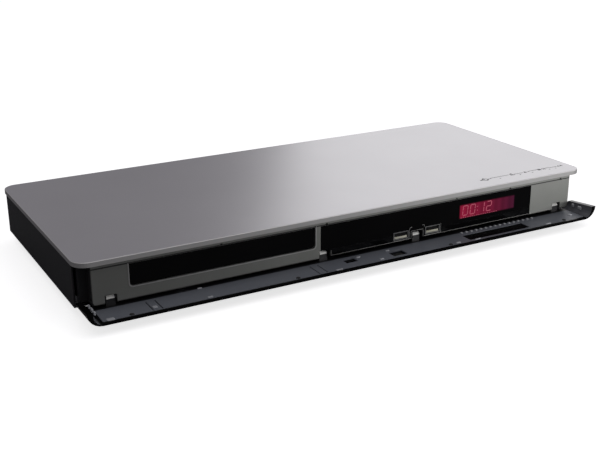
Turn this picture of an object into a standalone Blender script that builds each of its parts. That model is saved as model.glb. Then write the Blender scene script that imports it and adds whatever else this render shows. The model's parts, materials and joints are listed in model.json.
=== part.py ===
"""A slim full-width disc player with its drop-down front flap open.

The player is built the way it comes apart on a bench: a top plate over a steel
case, a fascia with a glossy window, a hinged flap, and a tray loader with its
gear train, pickup and clamp. All sizes are in metres and +Z is up. The origin is
below the middle of the whole player, on the surface that its feet stand on.
"""

import math

import bmesh
import bpy
from mathutils import Matrix

for old in list(bpy.data.objects):
    bpy.data.objects.remove(old, do_unlink=True)

# Driving dimensions
plate_width = 0.4150
plate_depth = 0.1866
overall_height = 0.0430
plate_height = 0.0034
flap_reach = 0.0175
side_overhang = 0.0020
body_setback = 0.0160
rear_setback = 0.0030
foot_height = 0.0074
steel_sheet = 0.0010
seat_gap = 0.0003
running_gap = 0.0005
overrun = 0.0020
weld_gap = 0.000003

# Levels and planes that follow from the driving dimensions
half = 0.5
body_width = plate_width - 2 * side_overhang
front_y = flap_reach - (plate_depth + flap_reach) * half
rear_y = front_y + plate_depth
top_z = overall_height
plate_under = top_z - plate_height
cover_top = plate_under - seat_gap
cover_under = cover_top - steel_sheet
body_bottom = foot_height + seat_gap
base_top = body_bottom + steel_sheet
floor_z = base_top + seat_gap
body_half = body_width * half
cover_inner = body_half - steel_sheet
inner_half = cover_inner - seat_gap
body_front = front_y + body_setback
body_rear = rear_y - rear_setback
panel_rear = body_rear - seat_gap
panel_front = panel_rear - steel_sheet
base_rear = panel_front - seat_gap


# Spans: a pair of low and high values along one axis


def around(centre, size):
    return (centre - size * half, centre + size * half)


def above(low, size):
    return (low, low + size)


def below(high, size):
    return (high - size, high)


def widen(span, by):
    return (span[0] - by, span[1] + by)


def middle(span):
    return (span[0] + span[1]) * half


# Finishes


def finish(name, colour, roughness, metallic):
    material = bpy.data.materials.new(name)
    material.use_nodes = True
    shader = material.node_tree.nodes["Principled BSDF"]
    shader.inputs["Base Color"].default_value = (*colour, 1)
    shader.inputs["Roughness"].default_value = roughness
    shader.inputs["Metallic"].default_value = metallic
    material.diffuse_color = (*colour, 1)
    return material


silver_paint = finish("silver_paint", (0.66, 0.65, 0.67), 0.35, 0.6)
black_paint = finish("black_paint", (0.010, 0.010, 0.012), 0.5, 0.0)
bare_steel = finish("bare_steel", (0.55, 0.56, 0.57), 0.35, 0.9)
grey_paint = finish("grey_paint", (0.15, 0.155, 0.15), 0.4, 0.2)
black_plastic = finish("black_plastic", (0.008, 0.008, 0.009), 0.5, 0.0)
gloss_black = finish("gloss_black", (0.004, 0.004, 0.005), 0.06, 0.0)
smoked_window = finish("smoked_window", (0.012, 0.004, 0.008), 0.05, 0.0)
liner_grey = finish("liner_grey", (0.11, 0.12, 0.14), 0.4, 0.0)
bright_metal = finish("bright_metal", (0.75, 0.76, 0.77), 0.2, 1.0)
board_green = finish("board_green", (0.02, 0.11, 0.05), 0.45, 0.0)
rubber = finish("rubber", (0.02, 0.02, 0.02), 0.85, 0.0)
white_plastic = finish("white_plastic", (0.80, 0.80, 0.76), 0.4, 0.0)
copper_wire = finish("copper_wire", (0.60, 0.26, 0.10), 0.4, 0.7)
clear_lens = finish("clear_lens", (0.25, 0.30, 0.45), 0.05, 0.0)
red_glow = finish("red_glow", (0.45, 0.02, 0.06), 0.3, 0.0)
aluminium = finish("aluminium", (0.60, 0.61, 0.62), 0.3, 0.9)


# Outlines: lists of points in the plane across an extrusion


def arc(centre, radius, start, end, steps):
    """Points on a round stretch, angles in degrees."""
    points = []
    for step in range(steps + 1):
        angle = math.radians(start + (end - start) * step / steps)
        points.append((centre[0] + radius * math.cos(angle), centre[1] + radius * math.sin(angle)))
    return points


def rounded(across, up, radius, steps=5):
    """A rectangle with its four corners rounded."""
    (left, right), (low, high) = across, up
    points = arc((right - radius, low + radius), radius, -90, 0, steps)
    points += arc((right - radius, high - radius), radius, 0, 90, steps)
    points += arc((left + radius, high - radius), radius, 90, 180, steps)
    points += arc((left + radius, low + radius), radius, 180, 270, steps)
    return points


def circle(centre, radius, sides):
    return arc(centre, radius, 0, 360, sides)[:-1]


def box_outline(across, up):
    return [(across[0], up[0]), (across[1], up[0]), (across[1], up[1]), (across[0], up[1])]


# Shapes: hidden closed solids that a piece starts from, adds or cuts away

PLACES = {
    "X": lambda u, v, w: (w, u, v),
    "Y": lambda u, v, w: (u, w, v),
    "Z": lambda u, v, w: (u, v, w),
}


def helper(bm):
    bmesh.ops.recalc_face_normals(bm, faces=bm.faces)
    if bm.calc_volume(signed=True) < 0:
        bmesh.ops.reverse_faces(bm, faces=bm.faces)
    mesh = bpy.data.meshes.new("shape")
    bm.to_mesh(mesh)
    bm.free()
    obj = bpy.data.objects.new("shape", mesh)
    obj.hide_render = True
    obj.display_type = "WIRE"
    bpy.context.scene.collection.objects.link(obj)
    return obj


def slab_into(bm, outline, reach, axis):
    place = PLACES[axis]
    corners = [bm.verts.new(place(u, v, reach[0])) for u, v in outline]
    face = bm.faces.new(corners)
    raised = bmesh.ops.extrude_face_region(bm, geom=[face])["geom"]
    tops = [item for item in raised if isinstance(item, bmesh.types.BMVert)]
    step = Matrix.Translation(place(0, 0, reach[1] - reach[0])).translation
    bmesh.ops.translate(bm, vec=step, verts=tops)
    return tops


def slab(outline, reach, axis="Z", chamfer=0):
    """An outline extruded along an axis, its far rim chamfered if asked."""
    bm = bmesh.new()
    tops = slab_into(bm, outline, reach, axis)
    if chamfer:
        rim = {edge for vert in tops for edge in vert.link_edges}
        rim = [edge for edge in rim if all(vert in tops for vert in edge.verts)]
        bmesh.ops.bevel(bm, geom=rim, offset=chamfer, segments=2, profile=half, affect="EDGES")
    return helper(bm)


def slabs(outlines, reach, axis="Z"):
    """Several outlines that don't touch, extruded as one shape."""
    bm = bmesh.new()
    for outline in outlines:
        slab_into(bm, outline, reach, axis)
    return helper(bm)


def block(x, y, z):
    return slab(box_outline(x, y), z)


def blocks(triples):
    bm = bmesh.new()
    for x, y, z in triples:
        slab_into(bm, box_outline(x, y), z, "Z")
    return helper(bm)


def rod(centre, radius, reach, axis="Z", sides=24):
    return slab(circle(centre, radius, sides), reach, axis)


def rods(centres, radius, reach, axis="Z", sides=24):
    return slabs([circle(centre, radius, sides) for centre in centres], reach, axis)


def turned(profile, centre, axis="Z", sides=24):
    """A profile of (radius, height) points from the axis round to the axis, spun."""
    place = PLACES[axis]
    bm = bmesh.new()
    verts = [bm.verts.new((radius, 0, height)) for radius, height in profile]
    edges = [bm.edges.new(pair) for pair in zip(verts, verts[1:])]
    if profile[0][0] or profile[-1][0]:
        edges.append(bm.edges.new((verts[-1], verts[0])))
    bmesh.ops.spin(
        bm, geom=verts + edges, cent=(0, 0, 0), axis=(0, 0, 1),
        angle=math.tau, steps=sides, use_merge=True,
    )
    bmesh.ops.remove_doubles(bm, verts=bm.verts, dist=weld_gap)
    for vert in bm.verts:
        u, v, w = vert.co
        vert.co = place(u + centre[0], v + centre[1], w)
    return helper(bm)


def plus(shape):
    return ("UNION", shape)


def minus(shape):
    return ("DIFFERENCE", shape)


# Pivots: empties on the joint axes, which carry the moving pieces

level_place = {}


def pivot(name, point, carrier=None):
    empty = bpy.data.objects.new(name, None)
    bpy.context.scene.collection.objects.link(empty)
    level_place[name] = Matrix.Translation(point)
    empty.location = point
    if carrier:
        empty.parent = carrier
        empty.matrix_parent_inverse = level_place[carrier.name].inverted()
    return empty


def piece(name, material, shape, *changes, body=None, smooth_angle=35):
    """Turns a shape and its changes into one named part."""
    shape.name = shape.data.name = name
    shape.hide_render = False
    shape.display_type = "TEXTURED"
    shape.data.materials.append(material)
    shape.data.shade_smooth()
    shape.data.set_sharp_from_angle(angle=math.radians(smooth_angle))
    for number, (operation, tool) in enumerate(changes):
        tool.name = tool.data.name = f"{name}_shape_{number + 1}"
        change = shape.modifiers.new(f"step_{number + 1}", "BOOLEAN")
        change.operation = operation
        change.object = tool
        change.solver = "EXACT"
    if body:
        for obj in [shape] + [tool for _, tool in changes]:
            obj.parent = body
            obj.matrix_parent_inverse = level_place[body.name].inverted()
    return shape


# Top plate: a moulded plate with a thin sheet, a deeper rim and ribs clear of the key board

plate_corner = 0.0100
plate_sheet = 0.0016
plate_rim = 0.0025
plate_chamfer = 0.0004
plate_rib = 0.0020
plate_rib_gap = 0.0114
plate_rib_depth_share = 0.5

key_board_length = 0.0910
key_board_width = 0.0140
key_board_thick = 0.0008
key_board_inset = 0.0045
key_board_setback = 0.0080

plate_x = around(0, plate_width)
plate_y = (front_y, rear_y)
key_board_x = below(plate_x[1] - key_board_inset, key_board_length)
plate_rib_x = key_board_x[0] - plate_rib_gap - plate_rib * half
pan_x = widen(plate_x, -plate_rim)
pan_y = widen(plate_y, -plate_rim)
pan_z = (plate_under - overrun, top_z - plate_sheet)
rib_z = (plate_under, top_z - plate_sheet * half)
plate_ribs = blocks([(around(x, plate_rib), widen(pan_y, plate_rim * half), rib_z)
                     for x in (-plate_rib_x, 0, plate_rib_x)])
cross_rib = block(
    widen(pan_x, plate_rim * half),
    around(front_y + plate_depth * plate_rib_depth_share, plate_rib),
    rib_z,
)
piece(
    "top_plate",
    silver_paint,
    slab(rounded(plate_x, plate_y, plate_corner, 8), (plate_under, top_z), chamfer=plate_chamfer),
    minus(slab(rounded(pan_x, pan_y, plate_corner - plate_rim, 6), pan_z)),
    plus(plate_ribs),
    plus(cross_rib),
)

# Touch key board: sticks to the underside of the plate behind the printed keys

piece(
    "touch_key_board",
    board_green,
    block(
        key_board_x,
        above(front_y + key_board_setback, key_board_width),
        below(top_z - plate_sheet - seat_gap, key_board_thick),
    ),
)

# Case cover: a U of sheet steel, with three tabs screwed to the rear panel

cover_corner = 0.0015
tab_width = 0.0110
tab_drop = 0.0090
tab_share = 0.73
tab_places = (-tab_share * body_half, 0, tab_share * body_half)
tab_y = above(body_rear, steel_sheet)
screw_drop = 0.0058
screw_z = cover_top - screw_drop
screw_shank = 0.0014
screw_hole = screw_shank + seat_gap

cover_x = around(0, body_width)
cover_y = (body_front, body_rear)
cover_outline = [(cover_x[0], body_bottom), (cover_x[1], body_bottom)]
cover_outline += arc((cover_x[1] - cover_corner, cover_top - cover_corner), cover_corner, 0, 90, 3)
cover_outline += arc((cover_x[0] + cover_corner, cover_top - cover_corner), cover_corner, 90, 180, 3)
tab_necks = blocks([(around(x, tab_width), (body_rear - steel_sheet, tab_y[1]), (cover_under, cover_top))
                    for x in tab_places])
tabs = blocks([(around(x, tab_width), tab_y, below(cover_top - seat_gap, tab_drop))
               for x in tab_places])
tab_centres = [(x, screw_z) for x in tab_places]
piece(
    "case_cover",
    black_paint,
    slab(cover_outline, cover_y, "Y"),
    minus(block(widen(cover_x, -steel_sheet), widen(cover_y, overrun),
                (body_bottom - overrun, cover_under))),
    plus(tab_necks),
    plus(tabs),
    minus(rods(tab_centres, screw_hole, widen(tab_y, overrun), "Y", 12)),
)

# Feet: pushed up through the base, with a barbed stem that holds them there

foot_radius = 0.0100
foot_edge = 0.0008
foot_stem = 0.0030
foot_barb = 0.0040
foot_barb_height = 0.0022
foot_share = 0.803
foot_front = 0.0400
foot_rear_inset = 0.0336
foot_places = [(side * foot_share * body_half, y)
               for y in (front_y + foot_front, body_rear - foot_rear_inset) for side in (-1, 1)]
foot_profile = [
    (0, 0),
    (foot_radius - foot_edge, 0),
    (foot_radius, foot_edge),
    (foot_radius, foot_height - foot_edge),
    (foot_radius - foot_edge, foot_height),
    (foot_stem, foot_height),
    (foot_stem, floor_z),
    (foot_barb, floor_z),
    (foot_stem, floor_z + foot_barb_height),
    (0, floor_z + foot_barb_height),
]
for number, place in enumerate(foot_places):
    piece(f"foot_{number + 1}", rubber, turned(foot_profile, place, sides=18))

# Circuit boards and where they stand on the base

board_thick = 0.0016
standoff_height = 0.0040
standoff_radius = 0.0030
board_under = base_top + standoff_height + seat_gap
board_top = board_under + board_thick
board_seat = board_top + seat_gap
board_inset = 0.0060
fascia_inset = 0.0085
fascia_half = body_half - fascia_inset
drive_inset = 0.09255
drive_x = drive_inset - fascia_half
tray_half_width = 0.0640
loader_side_gap = 0.0030
loader_wall = 0.0030
loader_x = around(drive_x, 2 * (tray_half_width + loader_side_gap + loader_wall))
board_gap = 0.0084
power_board_inset = 0.0082
power_board_width = 0.0780
power_board_x = below(inner_half - power_board_inset, power_board_width)
main_board_x = (loader_x[1] + board_gap, power_board_x[0] - board_gap)
main_board_length = 0.1100
main_board_rear_gap = 0.0100
main_board_y = below(panel_front - main_board_rear_gap, main_board_length)
power_board_length = 0.0880
power_board_rear_gap = 0.0060
power_board_y = below(panel_front - power_board_rear_gap, power_board_length)


def along(span, share):
    """The point that lies a share of the way along a span."""
    return span[0] + (span[1] - span[0]) * share


def board_corners(x, y):
    inside_x = widen(x, -board_inset)
    inside_y = widen(y, -board_inset)
    return [(u, v) for u in inside_x for v in inside_y]


standoffs = board_corners(main_board_x, main_board_y) + board_corners(power_board_x, power_board_y)

# Base plate: a tray of sheet steel with turned-up sides, vents and standoffs

flange_height = 0.0080
vent_width = 0.0030
vent_length = 0.0300
vent_pitch = 0.0080
vent_count = 6
vent_corner = 0.0008
vent_share = 0.3
vent_places = [(middle(x), along(y, vent_share))
               for x, y in ((main_board_x, main_board_y), (power_board_x, power_board_y))]

base_z = (body_bottom, base_top)
base_y = (body_front, base_rear)
flange_top = body_bottom + flange_height
flange_inner = inner_half - steel_sheet
base_outline = [
    (-inner_half, body_bottom),
    (inner_half, body_bottom),
    (inner_half, flange_top),
    (flange_inner, flange_top),
    (flange_inner, base_top),
    (-flange_inner, base_top),
    (-flange_inner, flange_top),
    (-inner_half, flange_top),
]
vents = []
for centre_x, centre_y in vent_places:
    for number in range(vent_count):
        x = centre_x + (number - (vent_count - 1) * half) * vent_pitch
        vents.append(rounded(around(x, vent_width), around(centre_y, vent_length),
                             vent_corner, 1))
piece(
    "base_plate",
    bare_steel,
    slab(base_outline, base_y, "Y"),
    plus(rods(standoffs, standoff_radius, (body_bottom + steel_sheet * half, base_top + standoff_height),
              sides=10)),
    minus(slabs(vents, widen(base_z, overrun))),
    minus(rods(foot_places, foot_stem + seat_gap, widen(base_z, overrun), sides=16)),
)

# Rear sockets: their places along the panel, seen from above

hdmi_width = 0.0150
hdmi_height = 0.0058
hdmi_depth = 0.0120
hdmi_wall = 0.0006
hdmi_share = 0.5
hdmi_x = along(main_board_x, hdmi_share)
lan_width = 0.0160
lan_height = 0.0135
lan_depth = 0.0160
lan_mouth_width = 0.0118
lan_mouth_height = 0.0082
lan_mouth_depth = 0.0120
lan_share = 0.83
lan_x = along(main_board_x, lan_share)
optical_width = 0.0100
optical_height = 0.0100
optical_depth = 0.0130
optical_mouth = 0.0062
optical_mouth_depth = 0.0060
optical_share = 0.2
optical_x = along(main_board_x, optical_share)
inlet_width = 0.0240
inlet_height = 0.0140
inlet_depth = 0.0180
inlet_lobe = 0.0042
inlet_pin_spread = 0.0086
inlet_pin = 0.0012
inlet_pin_length = 0.0090
inlet_mouth_depth = 0.0110
inlet_share = 0.54
inlet_x = along(power_board_x, inlet_share)
socket_rear = panel_rear

hdmi_box = (around(hdmi_x, hdmi_width), below(socket_rear, hdmi_depth), above(board_seat, hdmi_height))
lan_box = (around(lan_x, lan_width), below(socket_rear, lan_depth), above(board_seat, lan_height))
optical_box = (around(optical_x, optical_width), below(socket_rear, optical_depth),
               above(board_seat, optical_height))
inlet_box = (around(inlet_x, inlet_width), below(socket_rear, inlet_depth),
             above(board_seat, inlet_height))

# Rear panel: bent steel with the socket openings and a comb of cooling slots

comb_width = 0.0024
comb_height = 0.0150
comb_pitch = 0.0060
comb_count = 20
comb_inset = 0.0340
comb_low = 0.0060
panel_x = around(0, inner_half * 2)
panel_z = (body_bottom, cover_under - seat_gap)
panel_y = (panel_front, panel_rear)
comb = [(around(panel_x[0] + comb_inset + number * comb_pitch, comb_width), widen(panel_y, overrun),
         above(base_top + comb_low, comb_height)) for number in range(comb_count)]
openings = [(widen(x, seat_gap), widen(panel_y, overrun), widen(z, seat_gap))
            for x, _, z in (hdmi_box, lan_box, optical_box, inlet_box)]
piece(
    "rear_panel",
    bare_steel,
    block(panel_x, panel_y, panel_z),
    minus(blocks(comb + openings)),
    minus(rods(tab_centres, screw_hole, widen(panel_y, overrun), "Y", 12)),
)


def mouth(box, width, height, depth):
    """A recess in a socket's rear face, on the socket's own centre."""
    x, y, z = box
    return (around(middle(x), width), (y[1] - depth, y[1] + overrun), around(middle(z), height))


hdmi_mouth = mouth(hdmi_box, hdmi_width - 2 * hdmi_wall, hdmi_height - 2 * hdmi_wall,
                   hdmi_depth - hdmi_wall)
hdmi_tongue_share = 0.7
hdmi_tongue_height = 0.0012
hdmi_tongue = (
    around(hdmi_x, hdmi_width * hdmi_tongue_share),
    (hdmi_box[1][0] + hdmi_wall * half, hdmi_box[1][1] - hdmi_wall * 2),
    around(middle(hdmi_box[2]), hdmi_tongue_height),
)
piece("hdmi_socket", bright_metal, block(*hdmi_box), minus(block(*hdmi_mouth)), plus(block(*hdmi_tongue)))

lan_mouth = mouth(lan_box, lan_mouth_width, lan_mouth_height, lan_mouth_depth)
lan_latch_width = 0.0060
lan_latch_height = 0.0020
lan_latch = (around(lan_x, lan_latch_width), lan_mouth[1],
             (lan_mouth[2][0] - lan_latch_height, lan_mouth[2][0] + lan_latch_height * half))
piece("lan_socket", bright_metal, block(*lan_box), minus(block(*lan_mouth)), minus(block(*lan_latch)))

optical_recess = mouth(optical_box, optical_mouth, optical_mouth, optical_mouth_depth)
piece("optical_socket", black_plastic, block(*optical_box), minus(block(*optical_recess)))

inlet_z = middle(inlet_box[2])
inlet_mouth_y = (inlet_box[1][1] - inlet_mouth_depth, inlet_box[1][1] + overrun)
inlet_pin_y = (inlet_mouth_y[0] - overrun, inlet_mouth_y[0] + inlet_pin_length)
pin_places = [(inlet_x + side * inlet_pin_spread * half, inlet_z) for side in (-1, 1)]
figure_eight = arc(pin_places[1], inlet_lobe, -65, 65, 6) + arc(pin_places[0], inlet_lobe, 115, 245, 6)
piece(
    "ac_inlet",
    black_plastic,
    block(*inlet_box),
    minus(slab(figure_eight, inlet_mouth_y, "Y")),
    plus(rods(pin_places, inlet_pin, inlet_pin_y, "Y", 12)),
)

# Main board, its heat sink and the flat cable to the front board

chip_size = 0.0260
chip_height = 0.0014
chip_share = 0.5
chip_x = along(main_board_x, chip_share)
memory_share = 0.22
chip_depth_share = 0.4
memory_width = 0.0100
memory_length = 0.0130
memory_gap = 0.0080
memory_count = 3
chip_y = along(main_board_y, chip_depth_share)
chip_top = board_top + chip_height
memories = [
    (around(along(main_board_x, memory_share), memory_width),
     above(chip_y - chip_size + number * (memory_length + memory_gap), memory_length),
     (board_under + board_thick * half, chip_top))
    for number in range(memory_count)
]
chip = (around(chip_x, chip_size), around(chip_y, chip_size), (board_under + board_thick * half, chip_top))
piece(
    "main_board",
    board_green,
    block(main_board_x, main_board_y, (board_under, board_top)),
    plus(blocks(memories + [chip])),
)

fin_count = 8
fin_thick = 0.0012
sink_size = 0.0360
sink_base = 0.0025
sink_height = 0.0110
sink_z = chip_top + seat_gap
fin_pitch = (sink_size - fin_thick) / (fin_count - 1)
fins = [
    (above(chip_x - sink_size * half + number * fin_pitch, fin_thick),
     around(chip_y, sink_size),
     (sink_z + sink_base * half, sink_z + sink_height))
    for number in range(fin_count)
]
piece(
    "heat_sink",
    aluminium,
    block(around(chip_x, sink_size), around(chip_y, sink_size), above(sink_z, sink_base)),
    plus(blocks(fins)),
)

# Power board with its transformer and main capacitor

power_relay_size = 0.0120
power_relay_height = 0.0140
relay_setback = 0.0120
relay_inset = 0.0140
piece(
    "power_board",
    board_green,
    block(power_board_x, power_board_y, (board_under, board_top)),
    plus(block(
        around(power_board_x[0] + relay_inset, power_relay_size),
        around(power_board_y[0] + relay_setback, power_relay_size),
        (board_under + board_thick * half, board_top + power_relay_height),
    )),
)

core_width = 0.0300
core_length = 0.0280
core_height = 0.0200
coil_width = 0.0200
coil_length = 0.0340
coil_inset = 0.0030
core_share = 0.35
core_x = along(power_board_x, core_share)
core_depth_share = 0.4
core_y = along(power_board_y, core_depth_share)
coil_z = (board_seat + coil_inset, board_seat + core_height - coil_inset)
piece(
    "transformer",
    copper_wire,
    slab(rounded(around(core_x, core_width), around(core_y, core_length), coil_inset * half, 3),
         above(board_seat, core_height)),
    plus(slab(rounded(around(core_x, coil_width), around(core_y, coil_length), coil_inset, 4), coil_z)),
)

can_radius = 0.0090
can_height = 0.0200
can_edge = 0.0008
can_neck = 0.0022
can_share = 0.78
can_depth_share = 0.33
can_x = along(power_board_x, can_share)
can_y = along(power_board_y, can_depth_share)
can_profile = [
    (0, board_seat),
    (can_radius, board_seat),
    (can_radius, board_seat + can_neck),
    (can_radius - can_edge, board_seat + can_neck + can_edge),
    (can_radius, board_seat + can_neck + 2 * can_edge),
    (can_radius, board_seat + can_height - can_edge),
    (can_radius - can_edge, board_seat + can_height),
    (0, board_seat + can_height),
]
piece("main_capacitor", black_plastic, turned(can_profile, (can_x, can_y), sides=22))

# Fascia planes: the bezel in front, the frame that carries it behind

fascia_setback = 0.0030
fascia_drop = 0.0314
bezel_thick = 0.0018
bezel_corner = 0.0030
bezel_chamfer = 0.0010
frame_wall = 0.0020
frame_floor = 0.0014
bezel_y = above(front_y + fascia_setback, bezel_thick)
frame_y = above(bezel_y[1] + seat_gap, frame_wall)
fascia_z = (top_z - fascia_drop, cover_top)
fascia_x = (-fascia_half, fascia_half)

# Tray opening, window opening and the places of the two sockets in the window

tray_mouth_width = 0.1357
tray_mouth_x = around(drive_x, tray_mouth_width)
tray_mouth_low = 0.0224
tray_mouth_high = 0.0070
tray_mouth_corner = 0.0025
tray_mouth_z = (top_z - tray_mouth_low, top_z - tray_mouth_high)
window_gap = 0.0044
window_inset = 0.0398
window_x = (tray_mouth_x[1] + window_gap, fascia_half - window_inset)
window_high = 0.0073
window_z = (fascia_z[0], top_z - window_high)
usb_share = 0.433
usb_spacing = 0.0282
usb_places = around(along(window_x, usb_share), usb_spacing)
usb_width = 0.0131
usb_height = 0.0057
usb_drop = 0.0263
usb_length = 0.0137
usb_wall = 0.0005
usb_rim = 0.0003
usb_z = around(top_z - usb_drop, usb_height)

# Flap hinge: four arms on the flap turn on short pins in the front frame

hinge_setback = 0.0072
hinge_drop = 0.0287
hinge_inset = 0.0119
window_hinge_inset = 0.0027
hinge_places = (
    hinge_inset - fascia_half,
    window_x[0] + window_hinge_inset,
    middle(usb_places),
    fascia_half - hinge_inset,
)
hinge_pin_radius = 0.0010
hinge_pin_length = 0.0124
hinge_eye = 0.0026
hinge_arm_width = 0.0064
hinge_slot_width = 0.0082
hinge_slot_top = 0.0254
hinge_boss_width = 0.0130
hinge_boss_wall = 0.0012
hinge_bore = hinge_pin_radius + seat_gap
hinge_y = front_y + hinge_setback
hinge_z = top_z - hinge_drop
slot_z = (fascia_z[0] - overrun, top_z - hinge_slot_top)
slot_back = hinge_y + hinge_eye + running_gap
boss_back = slot_back + hinge_boss_wall
slots_bezel = blocks([(around(x, hinge_slot_width), widen(bezel_y, overrun), slot_z) for x in hinge_places])
slots_frame = blocks([(around(x, hinge_slot_width), (frame_y[0] - overrun, slot_back), slot_z)
                      for x in hinge_places])
slots_window = blocks([(around(x, hinge_slot_width), widen(bezel_y, overrun), slot_z)
                       for x in hinge_places[1:3]])
boss_z = (fascia_z[0], slot_z[1] + hinge_boss_wall)

# Front bezel: the grey face with the tray opening, window opening and slots

notch_shares = (-0.5482, -0.1396, 0.4315, 0.6919, 0.9523)
notch_places = [fascia_half * share for share in notch_shares]
notch_width = 0.0016
notch_height = 0.0014
notch_drop = 0.0060
mouth_outline = [(tray_mouth_x[1], tray_mouth_z[1]), (tray_mouth_x[0], tray_mouth_z[1])]
mouth_outline += arc((tray_mouth_x[0] + tray_mouth_corner, tray_mouth_z[0] + tray_mouth_corner),
                     tray_mouth_corner, 180, 270, 4)
mouth_outline += arc((tray_mouth_x[1] - tray_mouth_corner, tray_mouth_z[0] + tray_mouth_corner),
                     tray_mouth_corner, 270, 360, 4)
bezel_outline = [(fascia_x[1], fascia_z[1]), (fascia_x[0], fascia_z[1])]
bezel_outline += arc((fascia_x[0] + bezel_corner, fascia_z[0] + bezel_corner), bezel_corner, 180, 270, 4)
bezel_outline += arc((fascia_x[1] - bezel_corner, fascia_z[0] + bezel_corner), bezel_corner, 270, 360, 4)
window_hole = (widen(window_x, seat_gap), widen(bezel_y, overrun),
               (window_z[0] - overrun, window_z[1] + seat_gap))
notches = [(around(x, notch_width), (bezel_y[0] - overrun, middle(bezel_y)),
            around(top_z - notch_drop, notch_height)) for x in notch_places]
chamfer_outline = [
    (bezel_y[0] - overrun, fascia_z[0] - overrun),
    (bezel_y[0] + bezel_chamfer + overrun, fascia_z[0] - overrun),
    (bezel_y[0] + bezel_chamfer, fascia_z[0]),
    (bezel_y[0], fascia_z[0] + bezel_chamfer),
    (bezel_y[0] - overrun, fascia_z[0] + bezel_chamfer),
]
piece(
    "front_bezel",
    grey_paint,
    slab(bezel_outline, bezel_y, "Y"),
    minus(slab(mouth_outline, widen(bezel_y, overrun), "Y")),
    minus(block(*window_hole)),
    minus(blocks(notches)),
    minus(slab(chamfer_outline, widen(fascia_x, overrun), "X")),
    minus(slots_bezel),
)

# Window panel: glossy black, with its socket openings and hinge notches

usb_openings = [(around(x, usb_width + 2 * usb_rim), widen(bezel_y, overrun), widen(usb_z, usb_rim))
                for x in usb_places]
piece(
    "window_panel",
    gloss_black,
    block(window_x, bezel_y, window_z),
    minus(blocks(usb_openings)),
    minus(slab(chamfer_outline, widen(window_x, overrun), "X")),
    minus(slots_window),
)

# Front frame: the black moulding that carries bezel, boards and hinge pins

end_wall = 0.0025
end_back = 0.0003
end_flange = 0.0020
end_flange_reach = 0.0060
frame_margin = 0.0004
board_post = 0.0025
front_board_inset = 0.0050
front_board_x = widen(window_x, -front_board_inset)
front_board_z = (fascia_z[0] + frame_floor + seat_gap, cover_under - running_gap)
post_inset_x = 0.0050
post_inset_z = 0.0045
usb_front = bezel_y[0] + seat_gap
front_board_y = above(usb_front + usb_length + seat_gap, board_thick)
post_reach = (frame_y[1] - frame_wall * half, front_board_y[0] - seat_gap)
frame_back = body_front - end_back
display_shares = (0.6346, 0.9224)
display_x = [along(window_x, share) for share in display_shares]
display_low = 0.0228
display_high = 0.0106
display_z = (top_z - display_low, top_z - display_high)
frame_holes = [(widen(around(x, usb_width), seat_gap), widen(frame_y, overrun), widen(usb_z, seat_gap))
               for x in usb_places]
frame_holes.append((widen(display_x, seat_gap), widen(frame_y, overrun), widen(display_z, seat_gap)))
tray_hole = (widen(tray_mouth_x, frame_margin), widen(frame_y, overrun), widen(tray_mouth_z, frame_margin))
foot_tab_width = 0.0120
foot_tab_reach = 0.0060
foot_tab_shares = (-0.9594, -0.1015, 0.5076, 0.9391)
foot_tab_places = [fascia_half * share for share in foot_tab_shares]
post_places = [(x, z) for x in widen(front_board_x, -post_inset_x)
               for z in widen(front_board_z, -post_inset_z)]
bosses = [(around(x, hinge_boss_width), (frame_y[0], boss_back), boss_z) for x in hinge_places]
foot_tabs = [(around(x, foot_tab_width), (frame_back - frame_wall * half, frame_back + foot_tab_reach),
              (floor_z, fascia_z[0] + frame_floor)) for x in foot_tab_places]
end_walls = [(span, (frame_y[0], frame_back), fascia_z)
             for span in (above(fascia_x[0], end_wall), below(fascia_x[1], end_wall))]
flanges = [(span, below(frame_back, end_flange), fascia_z)
           for span in (below(fascia_x[0] + end_wall, end_wall + end_flange_reach),
                        above(fascia_x[1] - end_wall, end_wall + end_flange_reach))]
post_outlines = [circle(place, board_post, 12) for place in post_places]
piece(
    "front_frame",
    black_plastic,
    block(fascia_x, frame_y, fascia_z),
    minus(blocks(frame_holes)),
    minus(block(*tray_hole)),
    plus(block(fascia_x, (frame_y[0], frame_back), above(fascia_z[0], frame_floor))),
    plus(blocks(end_walls)),
    plus(blocks(flanges)),
    plus(blocks(bosses)),
    plus(blocks(foot_tabs)),
    plus(slabs(post_outlines, post_reach, "Y")),
    minus(slots_frame),
    minus(rod((hinge_y, hinge_z), hinge_bore, widen(fascia_x, overrun), "X", 16)),
)

for number, x in enumerate(hinge_places):
    piece(
        f"hinge_pin_{number + 1}",
        bare_steel,
        rod((hinge_y, hinge_z), hinge_pin_radius, around(x, hinge_pin_length), "X", 14),
    )

# Front board with the display and the two sockets that show in the window

piece("front_board", board_green, block(front_board_x, front_board_y, front_board_z))

glass_thick = 0.0040
display_foot_share = 0.7
display_y = above(frame_y[0] + seat_gap, glass_thick)
display_foot = (
    around(middle(display_x), (display_x[1] - display_x[0]) * display_foot_share),
    (display_y[1] - glass_thick * half, front_board_y[0] - seat_gap),
    around(middle(display_z), (display_z[1] - display_z[0]) * display_foot_share),
)
piece("display_module", red_glow, block(display_x, display_y, display_z), plus(block(*display_foot)))

usb_tongue_share = 0.8
usb_tongue_height = 0.0019
usb_tongue_drop = 0.0009
usb_bore_depth = 0.0110
for side, x in zip(("left", "right"), usb_places):
    shell_y = above(usb_front, usb_length)
    bore = (around(x, usb_width - 2 * usb_wall), (usb_front - overrun, usb_front + usb_bore_depth),
            widen(usb_z, -usb_wall))
    tongue = (
        around(x, usb_width * usb_tongue_share),
        (usb_front + usb_wall, usb_front + usb_bore_depth + usb_wall),
        below(usb_z[1] - usb_wall - usb_tongue_drop, usb_tongue_height),
    )
    piece(f"usb_socket_{side}", bright_metal, block(around(x, usb_width), shell_y, usb_z),
          minus(block(*bore)), plus(block(*tongue)))

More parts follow.
